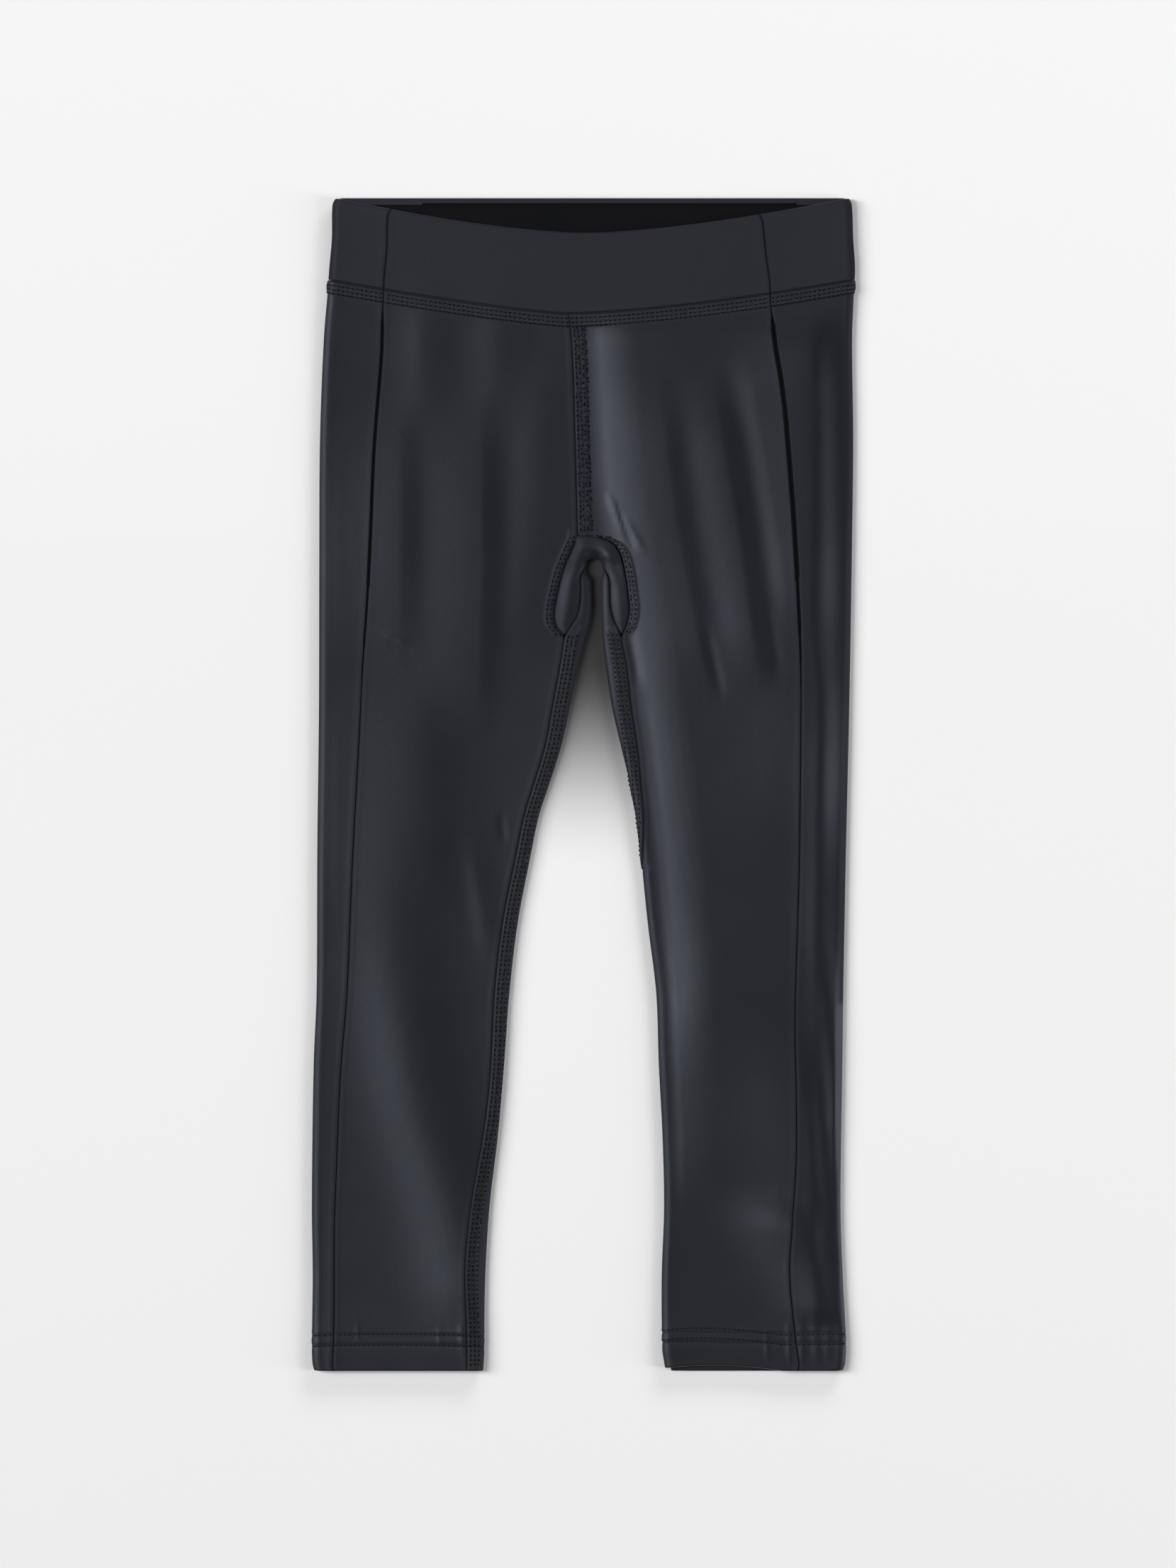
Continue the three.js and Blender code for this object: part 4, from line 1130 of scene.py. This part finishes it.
def knit_material(name, colour, roughness, bump_strength, sheen, specular):
    """Fine dark jersey: rows of loops, fuzz, uneven dye and wear, with painted shade that darkens
    and dulls it at seams, grooves and edges.
    """
    surface = Surface(name, roughness, specular)
    surface.fill(surface.shader, {
        "Specular Tint": (0.77, 0.81, 1.0, 1),
        "Sheen Weight": sheen,
        "Sheen Roughness": 0.45,
        "Sheen Tint": (0.66, 0.7, 0.85, 1),
    })
    cloth = surface.add("UVMap", "UV", {}, uv_map="cloth")
    spot = surface.add("TexCoord", "Object", {})

    wale, course = 0.42, 0.42 * 0.8     # a loop's width and height
    wales = surface.waves(cloth, "X", wale, {"Detail": 1, "Detail Scale": 1.5})
    loops = surface.waves(cloth, "Y", course, {})
    knit = surface.add("Math", "Value", {0: wales, 1: loops}, operation="MULTIPLY")
    fuzz = surface.noise(spot, 900, {"Detail": 3})
    normal = surface.relief(knit, bump_strength, 0.00008)
    normal = surface.relief(fuzz, bump_strength * 0.8, 0.00006, normal)

    dye = surface.noise(spot, 9, {"Detail": 4})
    tone = surface.ramp(dye, (0.32, tinted(colour, 0.9, 0.95, 0.94)),
                        (0.72, tinted(colour, 1.1, 1.06, 1.24)))
    grain = surface.ramp(fuzz, (0, [0.45] * 3), (1, [1.35] * 3))
    grained = surface.mix(blend="MULTIPLY", Factor=0.35, A=tone, B=grain)
    # Painted shade: the shade attribute mixes the colour towards near-black.
    seam = surface.shade()
    darkened = surface.mix(Factor=seam, A=grained, B=(0.0012, 0.0012, 0.0014, 1))

    patches = surface.noise(spot, 60, {"Detail": 3})
    wear = surface.add("MapRange", "Result", {
        "Value": patches, "From Min": 0.3, "From Max": 0.7,
        "To Min": roughness - 0.015, "To Max": roughness + 0.02})
    dull = surface.add("Math", "Value", {0: seam, 1: 0.4, 2: wear},
                       operation="MULTIPLY_ADD", use_clamp=True)
    surface.fill(surface.shader, {"Normal": normal, "Base Color": darkened, "Roughness": dull})
    return surface.material


def thread_material(name, colour, roughness, specular):
    surface = Surface(name, roughness, specular)
    ply = surface.noise(surface.add("TexCoord", "Object", {}), 1400, {})
    tone = surface.ramp(ply, (0.35, tinted(colour, 0.6, 0.6, 0.6)),
                        (0.7, tinted(colour, 1.5, 1.5, 1.5)))
    twist = surface.relief(ply, 0.5, 0.0001)
    surface.fill(surface.shader, {"Base Color": tone, "Normal": twist})
    return surface.material


def floor_material():
    """White paper, darkened by painted shadow where the shade attribute is set."""
    surface = Surface("floor", 0.9, 0.2)
    tone = surface.mix(Factor=surface.shade(), A=(0.9, 0.9, 0.9, 1), B=(0.05, 0.05, 0.05, 1))
    surface.fill(surface.shader, {"Base Color": tone})
    return surface.material


bpy.context.scene.view_settings.view_transform = "Standard"

# Camera: straight above, a long lens, framed as the photograph

PHOTO_HEIGHT, PIXEL = 2212, 0.39        # the photo's height in pixels, and millimetres a pixel
CAMERA_HEIGHT = 6.4
SENSOR = 36
camera_data = bpy.data.cameras.new("camera")
camera_data.sensor_width = SENSOR
camera_data.lens = SENSOR * CAMERA_HEIGHT / (PHOTO_HEIGHT * PIXEL * MM)
camera_data.clip_end = 50
camera = place(bpy.data.objects.new("camera", camera_data))
camera.location = (2.34 * MM, 0.2 * MM, CAMERA_HEIGHT)
bpy.context.scene.camera = camera

# The garment

knit = knit_material("knit_cloth", (0.0062, 0.0067, 0.0079), 0.43, 0.3, 0.1, 0.6)
band_knit = knit_material("waistband_cloth", (0.0092, 0.0098, 0.0112), 0.58, 0.3, 0.1, 0.45)
gusset_knit = knit_material("gusset_cloth", (0.0095, 0.0101, 0.0113), 0.46, 0.3, 0.1, 0.42)
# Darker than the outer knit: partly the inner side's own black, partly painted shade inside the
# waist opening.
facing_knit = knit_material("facing_cloth", (0.0042, 0.0042, 0.0043), 0.65, 0.2, 0, 0.1)
# Near-black, low-gloss cloth laid in the side seams' grooves as painted shade.
groove_shade_knit = knit_material("groove_shade_cloth", (0.005, 0.0051, 0.0056), 0.8, 0.2, 0, 0.22)
thread = thread_material("cover_thread", (0.019, 0.0196, 0.021), 0.5, 0.4)
# Near-black: partly the thread's own colour, partly painted shade of the needle holes.
dark_thread = thread_material("needle_thread", (0.0022, 0.0022, 0.0025), 0.8, 0.1)
lint_fibre = thread_material("lint_fibre", (0.22, 0.21, 0.2), 0.8, 0.2)

sheets = {}
for side in SIDES:
    for layer in ("front", "back"):
        sheets[f"{layer}_{side}"] = leg_panel(side, layer)
    sheets[f"side_{side}"] = side_panel(side)
    sheets[f"waistband_side_{side}"] = band_side(side)
sheets["waistband_front"] = band_front()
sheets["waistband_back"] = band_back()
sheets["waistband_facing"] = band_facing()
sheets["gusset"] = gusset()

pieces = {}
for name, sheet in sheets.items():
    if name == "waistband_facing":
        piece = shell(sheet, facing_knit, facing_knit)
    elif name.startswith("waistband"):
        piece = shell(sheet, band_knit, facing_knit)
    else:
        piece = shell(sheet, gusset_knit if name == "gusset" else knit, knit, groove_shade_knit)
    piece.name = f"{name}_cloth"
    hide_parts(name)
    pieces[name] = piece

# Stitching

needle_threads = Threads("needle_stitching")
cover_threads = Threads("cover_stitching")
lint = Threads("lint")
crotch_start, crotch_end = len(trunk_y), len(trunk_y) + len(crotch_y)
for side in SIDES:
    for name in (f"front_{side}", f"side_{side}", f"back_{side}"):
        cover_stitch(Track(sheets[name], "top"), BAND_ROWS, 0.4, 0.4)
        hem_stitch(sheets[name], side)
    inseam = Track(sheets[f"back_{side}"], "start", crotch_end - 1)
    cover_stitch(inseam, (2.0, 4.3, 6.6), 0.2, loose=0.2)
    round_gusset = Track(sheets[f"front_{side}"], "start", crotch_start, crotch_end + 1)
    cover_stitch(round_gusset, (1.5, 3.7), 0.2, 0.2, loose=0.25)
for layer, side in CENTRE_BANDS:
    below_waist = Track(sheets[f"{layer}_{side}"], "start", 13, crotch_start + 1)
    cover_stitch(below_waist, (1.6, 3.7, 5.8, 7.8), 0.4, 0.1, loose=0.45)
understitch(Track(sheets["waistband_facing"], "top"), 0.9)
needle_threads.build(dark_thread)
cover_threads.build(thread)
lint.build(lint_fibre)

# Each piece's sheet is looked up, and nothing more is done with it

for name, piece in pieces.items():
    sheet = sheets[name]

# Studio


def studio_floor():
    """A wide floor, with a painted shadow between the legs just below the gusset."""
    reach, level = 6000, -0.4
    x = np.concatenate([[-reach], spaced(-60, 66, 3), [reach]])
    y = np.concatenate([[-reach], spaced(-75, 150, 3), [reach]])
    x, y = np.meshgrid(x, y)
    points = np.stack([x, y, np.full(x.shape, level)], axis=-1).reshape(-1, 3)
    # Painted shadow: darkest under the gusset, fading down the legs and out to the sides.
    down = smooth(y, -48, 76) * (1 - smooth(y, 130, 147))
    across = np.exp(-((np.abs(x - 3) / 42) ** 4))
    shade = (1 - (1 - down) ** 1.3) * across
    faces = quads(np.arange(x.size).reshape(x.shape))
    mesh = make_mesh("floor", points, faces, shade=shade.ravel())
    return dress("floor", mesh, floor_material())


floor = studio_floor()


def softbox(name, where, size, power, seen_in_gloss=True):
    """A lamp aimed at the garment, or a fill light that leaves no gleam on the cloth."""
    data = bpy.data.lights.new(name, "AREA")
    data.shape = "RECTANGLE"
    data.size, data.size_y = size
    data.energy = power
    lamp = place(bpy.data.objects.new(name, data))
    lamp.location = where
    lamp.visible_glossy = seen_in_gloss
    lamp.rotation_mode = "QUATERNION"
    lamp.rotation_quaternion = (-Vector(where)).to_track_quat("-Z", "Y")


softbox("left_softbox", (-5.9, 1.0, 6.0), (2.8, 6.4), 658)
softbox("top_softbox", (1.6, 3.5, 1.3), (2.6, 0.9), 85, seen_in_gloss=False)
softbox("right_softbox", (3.9, -0.6, 1.4), (1.0, 3.0), 56)
softbox("fill_softbox", (3.8, -0.6, 1.8), (1.0, 3.0), 26, seen_in_gloss=False)

world = bpy.data.worlds.new("studio")
bpy.context.scene.world = world
world.use_nodes = True
background = world.node_tree.nodes["Background"]
background.inputs["Color"].default_value = (1, 1, 1, 1)
background.inputs["Strength"].default_value = 0.08
